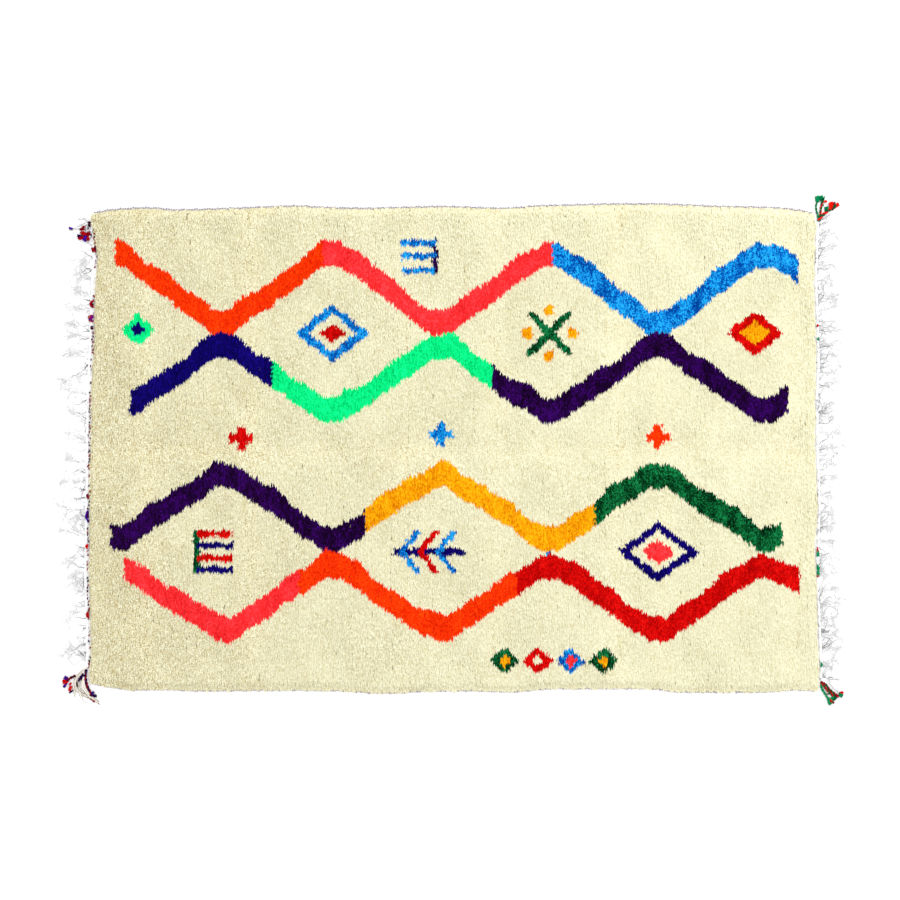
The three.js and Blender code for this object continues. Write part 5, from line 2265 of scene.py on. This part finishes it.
@dataclass(frozen=True)
class Studio:
    """The floor, the lights and the camera, which looks straight down as the photograph does."""

    view_width: float = 2.988
    lens: float = 85.0
    sensor: float = 36.0
    aim: Pair = (0.0084, 0.0044)
    floor_half: float = 15.0
    floor_parts: int = 8
    floor_below: float = 0.0003
    sky_strength: float = 1.2
    light_place: tuple[float, float, float] = (3.0, 3.4, 4.6)
    light_size: float = 4.0
    light_power: float = 160.0

    def build(self) -> None:
        """Sets up the studio."""
        self._camera()
        self._floor()
        self._lights()
        bpy.context.scene.view_settings.view_transform = "Standard"

    def _camera(self) -> None:
        """Adds the camera."""
        camera = bpy.data.cameras.new("camera")
        camera.lens = self.lens
        camera.sensor_width = self.sensor
        camera.clip_end = 100
        thing = placed("camera", camera)
        distance = self.view_width * self.lens / self.sensor
        thing.location = (*self.aim, distance)
        bpy.context.scene.camera = thing

    def _floor(self) -> None:
        """Adds the pale floor, just under the rug."""
        shape = bmesh.new()
        parts = self.floor_parts
        bmesh.ops.create_grid(shape, x_segments=parts, y_segments=parts, size=self.floor_half)
        bmesh.ops.translate(shape, verts=shape.verts[:], vec=(0, 0, -self.floor_below))
        mesh = bpy.data.meshes.new("floor")
        shape.to_mesh(mesh)
        shape.free()
        mesh.materials.append(FloorFinish().material())
        thing = placed("floor", mesh)

    def _lights(self) -> None:
        """Adds a large soft light over the back right corner, and even light from all round."""
        world = bpy.data.worlds.new("studio")
        world.use_nodes = True
        sky = world.node_tree.nodes["Background"]
        sky.inputs["Color"].default_value = (1.0, 1.0, 1.0, 1.0)
        sky.inputs["Strength"].default_value = self.sky_strength
        bpy.context.scene.world = world
        light = bpy.data.lights.new("softbox", "AREA")
        light.shape = "RECTANGLE"
        light.size = self.light_size
        light.size_y = self.light_size
        light.energy = self.light_power
        thing = placed("softbox", light)
        thing.location = self.light_place
        thing.rotation_euler = (-Vector(self.light_place)).to_track_quat("-Z", "Y").to_euler()


LEFT_SPAN = (-0.724, 0.741)
RIGHT_SPAN = (-0.763, 0.751)
TASSELS = (
    ("back_left", End.LEFT, "red_violet_twine", 0.752, BACK_LEFT_TASSEL),
    ("front_left", End.LEFT, "red_violet_twine", -0.735, FRONT_LEFT_TASSEL),
    ("back_right", End.RIGHT, "green_red_twine", 0.762, BACK_RIGHT_TASSEL),
    ("front_right", End.RIGHT, "green_red_twine", -0.774, FRONT_RIGHT_TASSEL),
)
# Each finish's shadow colour is painted shade in the grooves between the plies; the overcast's deep grooves
# show it as grey dashes.
WARP_FINISH = CordFinish("white_warp", 2, 0.006, linear(162, 159, 156), 0.85, 0.0004)
TWINE_FINISH = CordFinish("twine", 2, 0.007, linear(16, 8, 18), 0.85, 0.0004)
OVERCAST_FINISH = CordFinish("grey_selvedge", 1, 0.009, linear(104, 100, 120), 0.88, 0.0006, depth=2.4)


def build_ends(rim: Rim, rng: Generator) -> dict[str, Piece]:
    """Builds the fringes and the twined cords of both ends.

    Args:
        rim: The field's outline.
        rng: The source of the yarns' differences.

    Returns:
        Each piece, under the name of the node whose place it takes.
    """
    left_fringe = Fringe(
        rim, End.LEFT, "left_warps", LEFT_BUNCHES, LEFT_SPAN, WARP_FINISH, rng,
        girth=1.0, fray_lengths=(0.022, 0.084), stray_lengths=(0.014, 0.064),
        strays=110, shaded=0.3, sweep=8.0,
    )
    right_fringe = Fringe(
        rim, End.RIGHT, "right_warps", right_bunches(), RIGHT_SPAN, WARP_FINISH, rng,
        girth=0.8, fray_lengths=(0.018, 0.07), stray_lengths=(0.012, 0.08),
        strays=240, shaded=0.2, sweep=36.0,
    )
    left_cord = TwinedCord(
        rim, End.LEFT, "left_cord", "red_violet_twine", LEFT_STITCHES, LEFT_LOOPS,
        LEFT_SPAN, TWINE_FINISH, rng, shown=0.7, stitch_out=-0.0015,
    )
    right_cord = TwinedCord(
        rim, End.RIGHT, "right_cord", "green_red_twine", RIGHT_STITCHES, RIGHT_LOOPS,
        RIGHT_SPAN, TWINE_FINISH, rng, shown=0.45, stitch_out=0.004,
    )
    return {
        "fringe_left": left_fringe.build(),
        "fringe_right": right_fringe.build(),
        "twine_left": left_cord.build(),
        "twine_right": right_cord.build(),
    }


def report(piece: Piece) -> None:
    """Reports a finished piece."""
    LOG.info("%s: %d faces", piece.name, len(piece.data.polygons))


def main() -> None:
    """Builds the rug's pieces in order and reports each of them."""
    logging.basicConfig(level=logging.INFO, format="%(message)s")
    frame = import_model()
    Studio().build()
    rng = np.random.default_rng(SEED)
    rim = Rim(frame["nodes"][FIELD_NODE])
    design = Design()
    ground = Ground(rim, design).build()
    pile = KnottedPile(rim, PileTop(), design, rng).build()
    trims = {
        "selvedge_back": Selvedge(rim, "back_overcast", True, OVERCAST_FINISH).build(),
        "selvedge_front": Selvedge(rim, "front_overcast", False, OVERCAST_FINISH).build(),
        **build_ends(rim, rng),
    }
    others = {node: [piece] for node, piece in trims.items()}
    for name, end, slot, root, plan in TASSELS:
        tassel = CornerTassel(rim, end, name, slot, root, plan, TWINE_FINISH, WARP_FINISH, rng)
        others[f"tassel_{name}"] = tassel.build()
    for piece in [ground, *pile]:
        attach(piece, BODY)
        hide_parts(FIELD_NODE)
        report(piece)
    for node, pieces in others.items():
        for piece in pieces:
            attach(piece, BODY)
            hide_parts(node)
            report(piece)
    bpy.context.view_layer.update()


if __name__ == "__main__":
    main()
